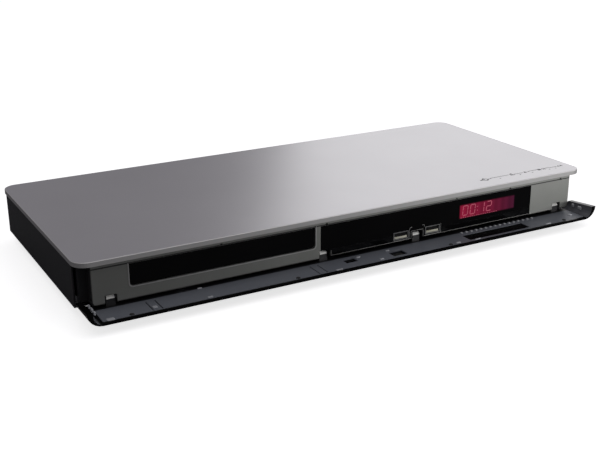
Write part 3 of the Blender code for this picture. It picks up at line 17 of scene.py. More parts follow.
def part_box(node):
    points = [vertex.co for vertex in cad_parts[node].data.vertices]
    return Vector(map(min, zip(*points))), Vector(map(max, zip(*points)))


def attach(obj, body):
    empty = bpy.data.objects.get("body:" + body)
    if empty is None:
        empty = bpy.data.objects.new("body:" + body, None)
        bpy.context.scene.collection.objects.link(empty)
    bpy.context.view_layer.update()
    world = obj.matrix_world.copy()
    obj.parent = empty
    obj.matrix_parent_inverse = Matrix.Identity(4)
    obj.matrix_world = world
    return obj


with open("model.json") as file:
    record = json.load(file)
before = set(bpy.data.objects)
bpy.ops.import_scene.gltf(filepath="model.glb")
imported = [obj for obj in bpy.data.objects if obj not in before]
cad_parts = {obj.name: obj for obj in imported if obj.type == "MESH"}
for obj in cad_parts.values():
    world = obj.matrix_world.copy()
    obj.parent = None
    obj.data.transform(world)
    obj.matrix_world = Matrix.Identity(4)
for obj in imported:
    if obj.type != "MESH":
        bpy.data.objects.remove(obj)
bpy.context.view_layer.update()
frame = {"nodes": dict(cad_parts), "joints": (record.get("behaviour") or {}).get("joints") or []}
nodes = frame["nodes"]
mm = 0.001

# %% [markdown]
# ## The camera
# The photo was taken from the front left, a little above the player. Its place
# was found by matching the plate's corners, so that straight edges land on the
# same pixels. Building the view first means that every later render can be laid
# beside the photo.

# %% Place the camera
camera_place = Vector((-358.37, -643.64, 267.95)) * mm
camera_turn = math.radians(28.842)
camera_dip = math.radians(19.559)
camera_roll = math.radians(0.3886)
ahead = Vector((math.sin(camera_turn) * math.cos(camera_dip),
                math.cos(camera_turn) * math.cos(camera_dip), -math.sin(camera_dip)))
level_right = Vector((math.cos(camera_turn), -math.sin(camera_turn), 0))
level_up = level_right.cross(ahead)
right = math.cos(camera_roll) * level_right - math.sin(camera_roll) * level_up
up = right.cross(ahead)
lens_data = bpy.data.cameras.new("photo_view")
lens_data.lens = 59.67
lens_data.sensor_width = 36
lens_data.clip_start = 0.01
camera = bpy.data.objects.new("photo_view", lens_data)
bpy.context.scene.collection.objects.link(camera)
camera.matrix_world = Matrix((
    (right.x, up.x, -ahead.x, camera_place.x),
    (right.y, up.y, -ahead.y, camera_place.y),
    (right.z, up.z, -ahead.z, camera_place.z),
    (0, 0, 0, 1),
))
bpy.context.scene.camera = camera
print("camera stands", round(camera_place.length, 3), "m from the player's middle")

# %% [markdown]
# ## Floor and light
# A product photo like this one has a white ground and large soft lamps. The
# camera sees white paper that still takes the shadow, while mirrors see a darker
# room, which is what keeps black gloss black. The silver plate mirrors what
# stands behind it, so one broad lamp at the rear right makes the plate pale there
# and lets it fall off to grey at the left. A second one at the front right does
# the same for the front.

# %% Floor, sky and lamps
bpy.context.scene.view_settings.view_transform = "Standard"


def lamp(name, place, aim, size, power, spread=180):
    """A soft rectangular lamp that faces a point."""
    data = bpy.data.lights.new(name, "AREA")
    data.shape = "RECTANGLE"
    data.size, data.size_y = size
    data.energy = power
    data.spread = math.radians(spread)
    obj = bpy.data.objects.new(name, data)
    bpy.context.scene.collection.objects.link(obj)
    obj.location = place
    obj.rotation_euler = (Vector(aim) - Vector(place)).to_track_quat("-Z", "Y").to_euler()
    return obj


def node_tree(material):
    """An empty node tree with an output, ready for a finish."""
    material.use_nodes = True
    tree = material.node_tree
    tree.nodes.clear()
    tree.nodes.new("ShaderNodeOutputMaterial")
    return tree


def add_node(tree, kind, **settings):
    node = tree.nodes.new("ShaderNode" + kind)
    for key, value in settings.items():
        setattr(node, key, value)
    return node


floor_mesh = bpy.data.meshes.new("floor")
bm = bmesh.new()
bmesh.ops.create_grid(bm, x_segments=1, y_segments=1, size=6)
bm.to_mesh(floor_mesh)
bm.free()
floor = bpy.data.objects.new("floor", floor_mesh)
bpy.context.scene.collection.objects.link(floor)

floor_paper = bpy.data.materials.new("floor_paper")
tree = node_tree(floor_paper)
paper = add_node(tree, "BsdfPrincipled")
paper.inputs["Base Color"].default_value = (0.80, 0.80, 0.80, 1)
paper.inputs["Roughness"].default_value = 1.0
paper.inputs["Specular IOR Level"].default_value = 0.0
paper.inputs["Emission Color"].default_value = (1, 1, 1, 1)
paper.inputs["Emission Strength"].default_value = 0.74
room_floor = add_node(tree, "BsdfDiffuse")
room_floor.inputs["Color"].default_value = (0.16, 0.16, 0.165, 1)
rays = add_node(tree, "LightPath")
choose = add_node(tree, "MixShader")
tree.links.new(rays.outputs["Is Camera Ray"], choose.inputs[0])
tree.links.new(room_floor.outputs[0], choose.inputs[1])
tree.links.new(paper.outputs[0], choose.inputs[2])
tree.links.new(choose.outputs[0], tree.nodes["Material Output"].inputs["Surface"])
floor_mesh.materials.append(floor_paper)

world = bpy.data.worlds.new("studio")
bpy.context.scene.world = world
world.use_nodes = True
tree = world.node_tree
tree.nodes.clear()
sky_out = add_node(tree, "OutputWorld")
room = add_node(tree, "Background")
room.inputs["Color"].default_value = (0.96, 0.93, 1.0, 1)
room.inputs["Strength"].default_value = 0.23
seen = add_node(tree, "Background")
seen.inputs["Color"].default_value = (1, 1, 1, 1)
rays = add_node(tree, "LightPath")
choose = add_node(tree, "MixShader")
tree.links.new(rays.outputs["Is Camera Ray"], choose.inputs[0])
tree.links.new(room.outputs[0], choose.inputs[1])
tree.links.new(seen.outputs[0], choose.inputs[2])
tree.links.new(choose.outputs[0], sky_out.inputs["Surface"])

lamp("broad_rear", (2.05, 1.75, 0.95), (0.1, 0.1, 0), (2.2, 1.8), 11.8)
lamp("front_right", (0.52, -0.52, 0.021), (0.2, -0.08, 0.021), (0.5, 0.04), 0.38, spread=80)
lamp("top_soft", (0.1, -0.5, 1.7), (0.05, -0.05, 0), (2.6, 2.0), 10)
print("three lamps and a floor")

# %% [markdown]
# ## Shared effects
# Some effects turn up in many finishes, so each one is a node group that is
# built once: a fine grain for moulded and painted surfaces, drawn lines for metal,
# dust that gathers on faces that look up, and a soft box in space that marks a
# region of a piece. A group only hands out masks and heights, and each material
# decides what they do to its shader.

# %% Small helpers for node work


def new_group(name, inputs, outputs):
    """A node group with float inputs (name and value) and float outputs."""
    group = bpy.data.node_groups.new(name, "ShaderNodeTree")
    for label, value in inputs:
        socket = group.interface.new_socket(name=label, in_out="INPUT", socket_type="NodeSocketFloat")
        socket.default_value = value
    for label in outputs:
        group.interface.new_socket(name=label, in_out="OUTPUT", socket_type="NodeSocketFloat")
    return group, group.nodes.new("NodeGroupInput"), group.nodes.new("NodeGroupOutput")


def ramp_between(tree, source, low, high):
    """A mask that runs from 0 to 1 while the source goes from low to high."""
    node = add_node(tree, "MapRange", clamp=True)
    node.inputs["From Min"].default_value = low
    node.inputs["From Max"].default_value = high
    tree.links.new(source, node.inputs["Value"])
    return node.outputs["Result"]


def sums(tree, operation, first, second):
    """One step of arithmetic on two sockets or numbers."""
    node = add_node(tree, "Math", operation=operation)
    for socket, value in zip(node.inputs, (first, second)):
        if isinstance(value, (int, float)):
            socket.default_value = value
        else:
            tree.links.new(value, socket)
    return node.outputs[0]


def coordinates(tree):
    """The three object coordinates of the point that is being shaded."""
    where = add_node(tree, "TexCoord")
    parts = add_node(tree, "SeparateXYZ")
    tree.links.new(where.outputs["Object"], parts.inputs[0])
    return parts.outputs


# %% Build the shared groups
grain_group, ins, outs = new_group("moulded_grain", [("Scale", 3000.0)], ["Height", "Speckle"])
where = add_node(grain_group, "TexCoord")
fine = add_node(grain_group, "TexNoise")
fine.inputs["Detail"].default_value = 3
patches = add_node(grain_group, "TexNoise")
patches.inputs["Scale"].default_value = 18
patches.inputs["Detail"].default_value = 4
grain_group.links.new(where.outputs["Object"], fine.inputs["Vector"])
grain_group.links.new(where.outputs["Object"], patches.inputs["Vector"])
grain_group.links.new(ins.outputs["Scale"], fine.inputs["Scale"])
grain_group.links.new(fine.outputs["Fac"], outs.inputs["Height"])
grain_group.links.new(ramp_between(grain_group, patches.outputs["Fac"], 0.35, 0.7), outs.inputs["Speckle"])

brush_group, ins, outs = new_group("drawn_lines", [("Along", 30.0), ("Across", 2500.0)], ["Line"])
where = add_node(brush_group, "TexCoord")
stretch = add_node(brush_group, "CombineXYZ")
scaled = add_node(brush_group, "VectorMath", operation="MULTIPLY")
lines = add_node(brush_group, "TexNoise")
lines.inputs["Scale"].default_value = 1
lines.inputs["Detail"].default_value = 2
brush_group.links.new(ins.outputs["Along"], stretch.inputs["X"])
brush_group.links.new(ins.outputs["Across"], stretch.inputs["Y"])
brush_group.links.new(ins.outputs["Across"], stretch.inputs["Z"])
brush_group.links.new(where.outputs["Object"], scaled.inputs[0])
brush_group.links.new(stretch.outputs[0], scaled.inputs[1])
brush_group.links.new(scaled.outputs[0], lines.inputs["Vector"])
brush_group.links.new(lines.outputs["Fac"], outs.inputs["Line"])

dust_group, ins, outs = new_group("settled_dust", [("Amount", 0.2)], ["Dust"])
parts = add_node(dust_group, "SeparateXYZ")
where = add_node(dust_group, "TexCoord")
specks = add_node(dust_group, "TexNoise")
specks.inputs["Scale"].default_value = 900
specks.inputs["Detail"].default_value = 2
dust_group.links.new(where.outputs["Normal"], parts.inputs[0])
dust_group.links.new(where.outputs["Object"], specks.inputs["Vector"])
level = ramp_between(dust_group, parts.outputs["Z"], 0.6, 1.0)
spots = ramp_between(dust_group, specks.outputs["Fac"], 0.55, 0.75)
settled = sums(dust_group, "MULTIPLY", sums(dust_group, "MULTIPLY", level, spots), ins.outputs["Amount"])
dust_group.links.new(settled, outs.inputs["Dust"])

smudge_group, ins, outs = new_group("finger_smudges", [("Scale", 60.0)], ["Smudge"])
where = add_node(smudge_group, "TexCoord")
wipes = add_node(smudge_group, "TexNoise")
wipes.inputs["Detail"].default_value = 5
wipes.inputs["Distortion"].default_value = 0.6
smudge_group.links.new(where.outputs["Object"], wipes.inputs["Vector"])
smudge_group.links.new(ins.outputs["Scale"], wipes.inputs["Scale"])
smudge_group.links.new(ramp_between(smudge_group, wipes.outputs["Fac"], 0.45, 0.75), outs.inputs["Smudge"])

region_group, ins, outs = new_group(
    "soft_box", [("Low X", 0.0), ("High X", 1.0), ("Low Z", 0.0), ("High Z", 1.0), ("Soft", 0.001)],
    ["Inside", "Along"])
x, _, z = coordinates(region_group)
inside = None
for axis, low, high in ((x, "Low X", "High X"), (z, "Low Z", "High Z")):
    rise = sums(region_group, "DIVIDE", sums(region_group, "SUBTRACT", axis, ins.outputs[low]), ins.outputs["Soft"])
    fall = sums(region_group, "DIVIDE", sums(region_group, "SUBTRACT", ins.outputs[high], axis), ins.outputs["Soft"])
    both = ramp_between(region_group, sums(region_group, "MINIMUM", rise, fall), 0, 1)
    inside = both if inside is None else sums(region_group, "MULTIPLY", inside, both)
span = sums(region_group, "SUBTRACT", ins.outputs["High X"], ins.outputs["Low X"])
along = sums(region_group, "DIVIDE", sums(region_group, "SUBTRACT", x, ins.outputs["Low X"]), span)
region_group.links.new(inside, outs.inputs["Inside"])
region_group.links.new(ramp_between(region_group, along, 0, 1), outs.inputs["Along"])
print("groups:", [group.name for group in bpy.data.node_groups])

# %% [markdown]
# ## Finishes
# One helper makes most finishes, because painted, moulded and plated pieces differ
# in their numbers more than in their build. The base colour shifts a little
# between two tones, the roughness follows the same patches, and a bump gives the
# surface its grain. Numbers that stay the same all over sit on the shader itself.

# %% A helper for finishes


def group_node(tree, group, **values):
    node = add_node(tree, "Group")
    node.node_tree = group
    for key, value in values.items():
        node.inputs[key.replace("_", " ")].default_value = value
    return node


def blend_colour(tree, mask, low, high):
    """A colour that goes from one tone to another as the mask goes from 0 to 1."""
    mix = add_node(tree, "Mix", data_type="RGBA")
    for label, tone in (("A", low), ("B", high)):
        if isinstance(tone, tuple):
            mix.inputs[label].default_value = (*tone, 1)
        else:
            tree.links.new(tone, mix.inputs[label])
    tree.links.new(mask, mix.inputs["Factor"])
    return mix.outputs["Result"]


def finish(name, low, high, rough, metallic=0.0, grain=3000.0, depth=0.05, coat=0.0, dust=0.0,
           drawn=False, smudged=0.0, shine=0.5):
    """A Principled finish with two tones, patchy roughness, fine bump and dust."""
    material = bpy.data.materials.new(name)
    tree = node_tree(material)
    shader = add_node(tree, "BsdfPrincipled")
    surface = group_node(tree, grain_group, Scale=grain)
    colour = blend_colour(tree, surface.outputs["Speckle"], low, high)
    if dust:
        settled = group_node(tree, dust_group, Amount=dust)
        colour = blend_colour(tree, settled.outputs["Dust"], colour, (0.42, 0.41, 0.39))
    tree.links.new(colour, shader.inputs["Base Color"])
    source = group_node(tree, brush_group).outputs["Line"] if drawn else surface.outputs["Height"]
    spread = add_node(tree, "MapRange")
    spread.inputs["To Min"].default_value = rough[0]
    spread.inputs["To Max"].default_value = rough[1]
    tree.links.new(source, spread.inputs["Value"])
    gloss = spread.outputs["Result"]
    if smudged:
        marks = group_node(tree, smudge_group).outputs["Smudge"]
        gloss = sums(tree, "ADD", gloss, sums(tree, "MULTIPLY", marks, smudged))
    tree.links.new(gloss, shader.inputs["Roughness"])
    bump = add_node(tree, "Bump")
    bump.inputs["Strength"].default_value = depth
    bump.inputs["Distance"].default_value = 0.0001
    tree.links.new(source, bump.inputs["Height"])
    tree.links.new(bump.outputs["Normal"], shader.inputs["Normal"])
    shader.inputs["Metallic"].default_value = metallic
    shader.inputs["Specular IOR Level"].default_value = shine
    shader.inputs["Coat Weight"].default_value = coat
    shader.inputs["Coat Roughness"].default_value = 0.05
    tree.links.new(shader.outputs[0], tree.nodes["Material Output"].inputs["Surface"])
    return material


# %% Paints and metals
silver_paint = finish("silver_paint", (0.60, 0.59, 0.605), (0.62, 0.61, 0.625), (0.29, 0.33),
                      metallic=0.8, depth=0.02, dust=0.02, drawn=True)
black_paint = finish("black_paint", (0.010, 0.010, 0.012), (0.015, 0.015, 0.017), (0.42, 0.58),
                     depth=0.25, grain=5000, dust=0.03)
bare_steel = finish("bare_steel", (0.50, 0.51, 0.52), (0.60, 0.61, 0.62), (0.30, 0.48),
                    metallic=0.95, depth=0.1, drawn=True)
bright_metal = finish("bright_metal", (0.72, 0.73, 0.74), (0.80, 0.81, 0.82), (0.14, 0.22),
                      metallic=1.0, depth=0.03, smudged=0.08)
line_silver = finish("line_silver", (0.17, 0.17, 0.165), (0.22, 0.22, 0.21), (0.34, 0.42),
                     metallic=0.4, depth=0.03)
trim_silver = finish("trim_silver", (0.42, 0.42, 0.41), (0.50, 0.50, 0.49), (0.28, 0.36),
                     metallic=0.6, depth=0.03, drawn=True)
contact_gold = finish("contact_gold", (0.72, 0.50, 0.20), (0.80, 0.58, 0.26), (0.18, 0.28),
                      metallic=1.0, depth=0.03)
aluminium = finish("aluminium", (0.55, 0.56, 0.57), (0.64, 0.65, 0.66), (0.3, 0.42),
                   metallic=0.95, depth=0.1, drawn=True)
print(len(bpy.data.materials), "materials so far")

# %% Plastics and rubber
black_plastic = finish("black_plastic", (0.008, 0.008, 0.009), (0.013, 0.013, 0.014), (0.45, 0.6),
                       depth=0.3, grain=4000, dust=0.02)
gloss_black = finish("gloss_black", (0.0015, 0.0015, 0.0016), (0.0025, 0.0025, 0.0026), (0.10, 0.13),
                     depth=0.01, smudged=0.06, shine=0.2)
liner_grey = finish("liner_grey", (0.140, 0.150, 0.173), (0.156, 0.166, 0.189), (0.36, 0.46),
                    depth=0.12, grain=6000, dust=0.03, smudged=0.1)
rubber = finish("rubber", (0.015, 0.015, 0.015), (0.028, 0.027, 0.026), (0.75, 0.9),
                depth=0.4, grain=2500, dust=0.1)
white_plastic = finish("white_plastic", (0.74, 0.74, 0.70), (0.80, 0.80, 0.76), (0.35, 0.45), depth=0.08)
clip_plastic = finish("clip_plastic", (0.36, 0.37, 0.39), (0.44, 0.45, 0.47), (0.4, 0.5), depth=0.1)
cream_plastic = finish("cream_plastic", (0.46, 0.45, 0.36), (0.54, 0.53, 0.43), (0.4, 0.5), depth=0.05)
print_dark = finish("print_dark", (0.012, 0.012, 0.013), (0.02, 0.019, 0.02), (0.45, 0.55), depth=0.05)
print_pale = finish("print_pale", (0.24, 0.24, 0.23), (0.30, 0.30, 0.29), (0.45, 0.55), depth=0.05)
print(len(bpy.data.materials), "materials so far")

# %% [markdown]
# ## Finishes with a pattern of their own
# Some pieces change along their length: the metallic paint of the fascia has a
# darker foot on its top rail, the glossy panel glows where the display lies behind
# it, and the socket shells are darkened inside with painted shade. Each of these
# starts as a plain finish and gets one more mask, read from the object's own coordinates in metres.

# %% Find the shader of a finish


def shader_of(material):
    """The node tree of a finish and its Principled shader."""
    tree = material.node_tree
    return tree, next(node for node in tree.nodes if node.type == "BSDF_PRINCIPLED")


def tint(material, mask_maker, tone):
    """Lets a mask carry a finish over to another tone."""
    tree, shader = shader_of(material)
    before = shader.inputs["Base Color"].links[0].from_socket
    tree.links.new(blend_colour(tree, mask_maker(tree), before, tone), shader.inputs["Base Color"])


def soften(material, mask_maker, rough, metal):
    """Lets a mask carry a finish over to another gloss and share of metal."""
    tree, shader = shader_of(material)
    mask = mask_maker(tree)
    for socket, after in (("Roughness", rough), ("Metallic", metal)):
        spread = add_node(tree, "MapRange")
        tree.links.new(mask, spread.inputs["Value"])
        spread.inputs["To Min"].default_value = shader.inputs[socket].default_value
        for link in shader.inputs[socket].links:
            tree.links.new(link.from_socket, spread.inputs["To Min"])
        spread.inputs["To Max"].default_value = after
        tree.links.new(spread.outputs["Result"], shader.inputs[socket])


def plate_edge(tree):
    """A mask over the plate's rolled edge, where the brushing ends."""
    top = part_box("top_plate")[1].z
    return ramp_between(tree, coordinates(tree)[2], top - 0.00003, top - 0.00010)


def painted_highlight_line(tree):
    """A mask over a painted highlight: a pale line where the plate's top turns into its edge."""
    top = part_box("top_plate")[1].z
    z = coordinates(tree)[2]
    return sums(tree, "MULTIPLY", plate_edge(tree), ramp_between(tree, z, top - 0.00045, top - 0.00035))


tint(silver_paint, plate_edge, (0.40, 0.395, 0.39))
# A pale line along the top of the plate's edge is a painted highlight.
tint(silver_paint, painted_highlight_line, (0.82, 0.81, 0.79))
soften(silver_paint, plate_edge, 0.5, 0.3)
grey_paint = finish("grey_paint", (0.215, 0.22, 0.205), (0.24, 0.245, 0.23), (0.34, 0.42),
                    metallic=0.6, depth=0.08, grain=6000)
rail_foot = (36.0, 37.0)


def below_rail(tree):
    """A mask over the darker foot of the top rail."""
    node = group_node(tree, region_group, Low_X=-0.25, High_X=0.25, Low_Z=rail_foot[0] * mm,
                      High_Z=rail_foot[1] * mm, Soft=0.0001)
    return node.outputs["Inside"]


tint(grey_paint, below_rail, (0.05, 0.05, 0.048))


def painted_shade_at_liner_rear(tree):
    """A mask for painted shade: black over the liner's rear edge and arms, which stand in the fascia's shade."""
    return ramp_between(tree, coordinates(tree)[1], -0.0826, -0.0822)


def raised_teeth(tree):
    """A mask over the comb of teeth that stands on the liner."""
    x, y, z = coordinates(tree)
    front = ramp_between(tree, y, -0.0826, -0.0827)
    return sums(tree, "MULTIPLY", front, ramp_between(tree, z, 0.00935, 0.00942))


# The liner's rear edge and arms are painted black as the fascia's shade.
tint(liner_grey, painted_shade_at_liner_rear, (0.008, 0.008, 0.009))
tint(liner_grey, raised_teeth, (0.40, 0.41, 0.42))


def inner_end(tree):
    """A mask over the flap's end walls where they face inwards."""
    x, _, z = coordinates(tree)
    where = add_node(tree, "TexCoord")
    parts = add_node(tree, "SeparateXYZ")
    tree.links.new(where.outputs["Normal"], parts.inputs[0])
    inward = ramp_between(tree, sums(tree, "MULTIPLY", sums(tree, "SIGN", x, 0), parts.outputs["X"]), -0.2, -0.5)
    past = ramp_between(tree, sums(tree, "ABSOLUTE", x, 0), 0.1985, 0.1990)
    return sums(tree, "MULTIPLY", inward, past)


tint(gloss_black, inner_end, (0.15, 0.155, 0.17))


def painted_shade_in_socket(tree):
    """A mask of painted shade that grows from a socket's rim towards its depth."""
    return ramp_between(tree, coordinates(tree)[1], -0.0812, -0.0810)


def painted_shade_in_rear_socket(tree):
    """A mask of painted shade that grows from a rear socket's mouth towards its depth."""
    return ramp_between(tree, coordinates(tree)[1], 0.0985, 0.0980)


rear_shell = finish("rear_shell", (0.62, 0.63, 0.64), (0.70, 0.71, 0.72), (0.25, 0.35), metallic=0.9)
# The rear sockets get painted shade inside, near black towards their depth.
tint(rear_shell, painted_shade_in_rear_socket, (0.015, 0.015, 0.016))
socket_shell = finish("socket_shell", (0.22, 0.22, 0.22), (0.28, 0.28, 0.28), (0.25, 0.35), metallic=0.6)
# The front sockets get painted shade inside, near black behind the rim.
tint(socket_shell, painted_shade_in_socket, (0.006, 0.006, 0.006))
print("patterned:", grey_paint.name, socket_shell.name)

# %% The glowing panel
display_low, display_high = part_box("display_module")
window_gloss = finish("window_gloss", (0.0015, 0.0015, 0.0016), (0.0025, 0.0025, 0.0026), (0.08, 0.11),
                      depth=0.01, smudged=0.05, shine=0.2)
tree, shader = shader_of(window_gloss)
glow = group_node(tree, region_group, Low_X=display_low.x, High_X=display_high.x - 0.001,
                  Low_Z=display_low.z, High_Z=display_high.z - 0.001, Soft=0.0012)
shade = blend_colour(tree, glow.outputs["Along"], (0.285, 0.010, 0.040), (0.060, 0.0080, 0.028))
cells = add_node(tree, "TexWave", wave_type="BANDS", bands_direction="X", wave_profile="SIN")
cells.inputs["Scale"].default_value = 46
cells.inputs["Distortion"].default_value = 0
where = add_node(tree, "TexCoord")
tree.links.new(where.outputs["Object"], cells.inputs["Vector"])
dim = sums(tree, "ADD", sums(tree, "MULTIPLY", cells.outputs["Fac"], 0.22), 0.78)
level = sums(tree, "MULTIPLY", glow.outputs["Inside"], dim)
tree.links.new(blend_colour(tree, level, (0.0, 0.0, 0.0), shade), shader.inputs["Emission Color"])
shader.inputs["Emission Strength"].default_value = 0.9
lit_marks = finish("lit_marks", (0.20, 0.03, 0.05), (0.24, 0.035, 0.06), (0.3, 0.4))
tree, shader = shader_of(lit_marks)
shader.inputs["Emission Color"].default_value = (0.36, 0.045, 0.085, 1)
shader.inputs["Emission Strength"].default_value = 0.6
print("display runs from", round(display_low.x / mm, 1), "to", round(display_high.x / mm, 1), "mm")

# %% [markdown]
# ## Circuit boards
# Green lacquer covers a board, with copper tracks that show through as paler
# lines, and bright pads where parts are soldered. A brick pattern gives tracks that
# run straight and turn at right angles, and a grid of small dots gives the pads.

# %% Board lacquer
board_green = finish("board_green", (0.012, 0.070, 0.030), (0.018, 0.090, 0.040), (0.25, 0.4),
                     depth=0.06, coat=0.3)
tree, shader = shader_of(board_green)
before = shader.inputs["Base Color"].links[0].from_socket
where = add_node(tree, "TexCoord")
tracks = add_node(tree, "TexBrick", offset=0.5)
tracks.inputs["Scale"].default_value = 160
tracks.inputs["Mortar Size"].default_value = 0.03
tree.links.new(where.outputs["Object"], tracks.inputs["Vector"])
tracked = blend_colour(tree, tracks.outputs["Fac"], before, (0.03, 0.16, 0.07))
pads = add_node(tree, "TexVoronoi", feature="F1")
pads.inputs["Scale"].default_value = 420
pads.inputs["Randomness"].default_value = 0.35
tree.links.new(where.outputs["Object"], pads.inputs["Vector"])
dots = ramp_between(tree, pads.outputs["Distance"], 0.16, 0.12)
tree.links.new(blend_colour(tree, dots, tracked, (0.45, 0.42, 0.33)), shader.inputs["Base Color"])
tree.links.new(dots, shader.inputs["Metallic"])


def memory_chips(tree):
    """A mask over the memory chips that stand on the main board."""
    _, y, z = coordinates(tree)
    low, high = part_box("main_board")
    standing = ramp_between(tree, z, high.z - 0.0013, high.z - 0.0012)
    under_top = ramp_between(tree, z, high.z + 0.0002, high.z + 0.0001)
    behind_front = ramp_between(tree, y, low.y, low.y + 0.0001)
    return sums(tree, "MULTIPLY", sums(tree, "MULTIPLY", standing, under_top), behind_front)


tint(board_green, memory_chips, (0.018, 0.018, 0.019))

copper_wire = finish("copper_wire", (0.40, 0.17, 0.06), (0.52, 0.24, 0.10), (0.3, 0.45), metallic=0.5)


def core_middle(tree):
    """A mask over the ferrite core, which leaves the coil's two ends bare."""
    y = coordinates(tree)[1]
    low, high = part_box("transformer")
    return ramp_between(tree, sums(tree, "ABSOLUTE", sums(tree, "SUBTRACT", y, (low.y + high.y) / 2), 0),
                        0.0141, 0.0139)


tint(copper_wire, core_middle, (0.03, 0.03, 0.032))
smoked_window = finish("smoked_window", (0.002, 0.002, 0.0022), (0.0035, 0.003, 0.0035), (0.2, 0.26),
                       depth=0.01, smudged=0.05, shine=0.08)
red_glass = finish("red_glass", (0.05, 0.004, 0.010), (0.07, 0.006, 0.014), (0.08, 0.12), depth=0.01)
lens_coating = finish("lens_coating", (0.10, 0.12, 0.26), (0.16, 0.14, 0.32), (0.05, 0.08), metallic=0.3,
                      depth=0.01, coat=0.8)
print(len(bpy.data.materials), "materials")

# %% Dress the solids
dress = {
    silver_paint: ["top_plate"],
    black_paint: ["case_cover"],
    bare_steel: ["base_plate", "rear_panel", "hinge_pin_1", "hinge_pin_2", "hinge_pin_3", "hinge_pin_4",
                 "loading_motor", "traverse_frame", "feed_motor", "spindle_motor", "clamp_bridge"],
    grey_paint: ["front_bezel"],
    black_plastic: ["front_frame", "tray", "loader_frame", "optical_socket", "ac_inlet", "turntable",
                    "pickup_sled", "main_capacitor"],
    gloss_black: ["tray_front", "flap_shell"],
    window_gloss: ["window_panel"],
    smoked_window: ["flap_window"],
    red_glass: ["display_module"],
    liner_grey: ["flap_liner"],
    socket_shell: ["usb_socket_left", "usb_socket_right"],
    rear_shell: ["hdmi_socket", "lan_socket"],
    bright_metal: ["guide_rod_left", "guide_rod_right", "feed_screw"],
    rubber: ["foot_1", "foot_2", "foot_3", "foot_4", "drive_belt"],
    white_plastic: ["flat_cable", "motor_pulley", "pulley_gear", "drive_gear", "clamp_puck"],
    lens_coating: ["objective_lens"],
    aluminium: ["heat_sink"],
    board_green: ["touch_key_board", "main_board", "power_board", "front_board"],
    copper_wire: ["transformer"],
}
for material, names in dress.items():
    for name in names:
        nodes[name].material_slots[0].material = material
dressed = [name for names in dress.values() for name in names]
print(len(dressed), "solids dressed, left bare:", sorted(set(nodes) - set(dressed)))

# %% [markdown]
# ## Tools for new pieces
# Every new piece is drawn in millimetres, in the player's own frame, and only
# shrunk to metres when it is set down. Small shapes are made in a bmesh of their
# own, turned to where they belong, and joined into the piece, which keeps each
# shape simple enough to check.

# %% Join, set down, and four basic shapes


def join_in(bm, part, place=None):
    """Adds a small shape to a piece, at its place."""
    if place is not None:
        bmesh.ops.transform(part, matrix=place, verts=part.verts)
    mesh = bpy.data.meshes.new("part")
    part.to_mesh(mesh)
    part.free()
    bm.from_mesh(mesh)
    bpy.data.meshes.remove(mesh)


def set_down(name, bm, material, body, smooth=35):
    """Makes a piece of a bmesh in millimetres and lets it ride on a body."""
    bmesh.ops.recalc_face_normals(bm, faces=bm.faces)
    bmesh.ops.scale(bm, vec=(mm, mm, mm), verts=bm.verts)
    mesh = bpy.data.meshes.new(name)
    bm.to_mesh(mesh)
    bm.free()
    mesh.materials.append(material)
    mesh.shade_smooth()
    mesh.set_sharp_from_angle(angle=math.radians(smooth))
    obj = bpy.data.objects.new(name, mesh)
    bpy.context.scene.collection.objects.link(obj)
    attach(obj, body)
    print(name, "has", len(mesh.polygons), "faces")
    return obj


def facing(place, direction):
    """The turn and place that point a shape's top along a direction."""
    return Matrix.Translation(Vector(place)) @ Vector(direction).to_track_quat("Z", "Y").to_matrix().to_4x4()


def soft_block(bm, x, y, z, edge=0.1, steps=2, place=None):
    """A block between two corners with its edges rounded over."""
    part = bmesh.new()
    bmesh.ops.create_cube(part, size=1)
    bmesh.ops.scale(part, vec=(x[1] - x[0], y[1] - y[0], z[1] - z[0]), verts=part.verts)
    bmesh.ops.bevel(part, geom=part.edges[:], offset=edge, affect="EDGES", segments=steps, profile=0.5,
                    material=-1, clamp_overlap=True)
    bmesh.ops.translate(part, vec=[(span[0] + span[1]) / 2 for span in (x, y, z)], verts=part.verts)
    join_in(bm, part, place)


def turned_shape(bm, profile, place, steps=24):
    """A profile of (radius, height) points spun into a closed shape."""
    part = bmesh.new()
    verts = [part.verts.new((radius, 0, height)) for radius, height in profile]
    edges = [part.edges.new(pair) for pair in zip(verts, verts[1:])]
    bmesh.ops.spin(part, geom=verts + edges, cent=(0, 0, 0), axis=(0, 0, 1), angle=math.tau, steps=steps,
                   use_merge=True)
    bmesh.ops.remove_doubles(part, verts=part.verts, dist=0.001)
    join_in(bm, part, place)


def stroke(bm, start, end, width, place=None):
    """A flat bar from one point to another, as a pen would draw it."""
    reach = Vector((end[0] - start[0], end[1] - start[1]))
    part = bmesh.new()
    bmesh.ops.create_grid(part, x_segments=1, y_segments=1, size=0.5)
    bmesh.ops.scale(part, vec=(reach.length + width, width, 1), verts=part.verts)
    turn = Matrix.Rotation(math.atan2(reach.y, reach.x), 4, "Z")
    middle = Matrix.Translation(((start[0] + end[0]) / 2, (start[1] + end[1]) / 2, 0))
    join_in(bm, part, (place or Matrix()) @ middle @ turn)


def raise_print(bm, direction, height):
    """Gives flat marks the thickness of a layer of ink, closed above and below."""
    grown = bmesh.ops.extrude_face_region(bm, geom=bm.faces[:], use_keep_orig=True)["geom"]
    verts = [item for item in grown if isinstance(item, bmesh.types.BMVert)]
    bmesh.ops.translate(bm, vec=Vector(direction) * height, verts=verts)
    bmesh.ops.recalc_face_normals(bm, faces=bm.faces[:])


print("shapes ready: block, turned shape, stroke")

# %% [markdown]
# ## Touch keys on the top plate
# The plate has no holes for its keys: small dark marks are printed on it above the
# key board, and thin stepped lines lead from one key to the next. Ink is so thin
# that each mark is a flat shape raised by a few hundredths of a millimetre. The
# marks are the plain ones of any player: on, open, play, stop and pause.

# %% Print the touch keys
plate_low, plate_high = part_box("top_plate")
ink = 0.015
plate_top = plate_high.z / mm - 0.005
key_row = plate_low.y / mm + 15.6
on_plate = Matrix.Translation((0, 0, plate_top))
bm = bmesh.new()


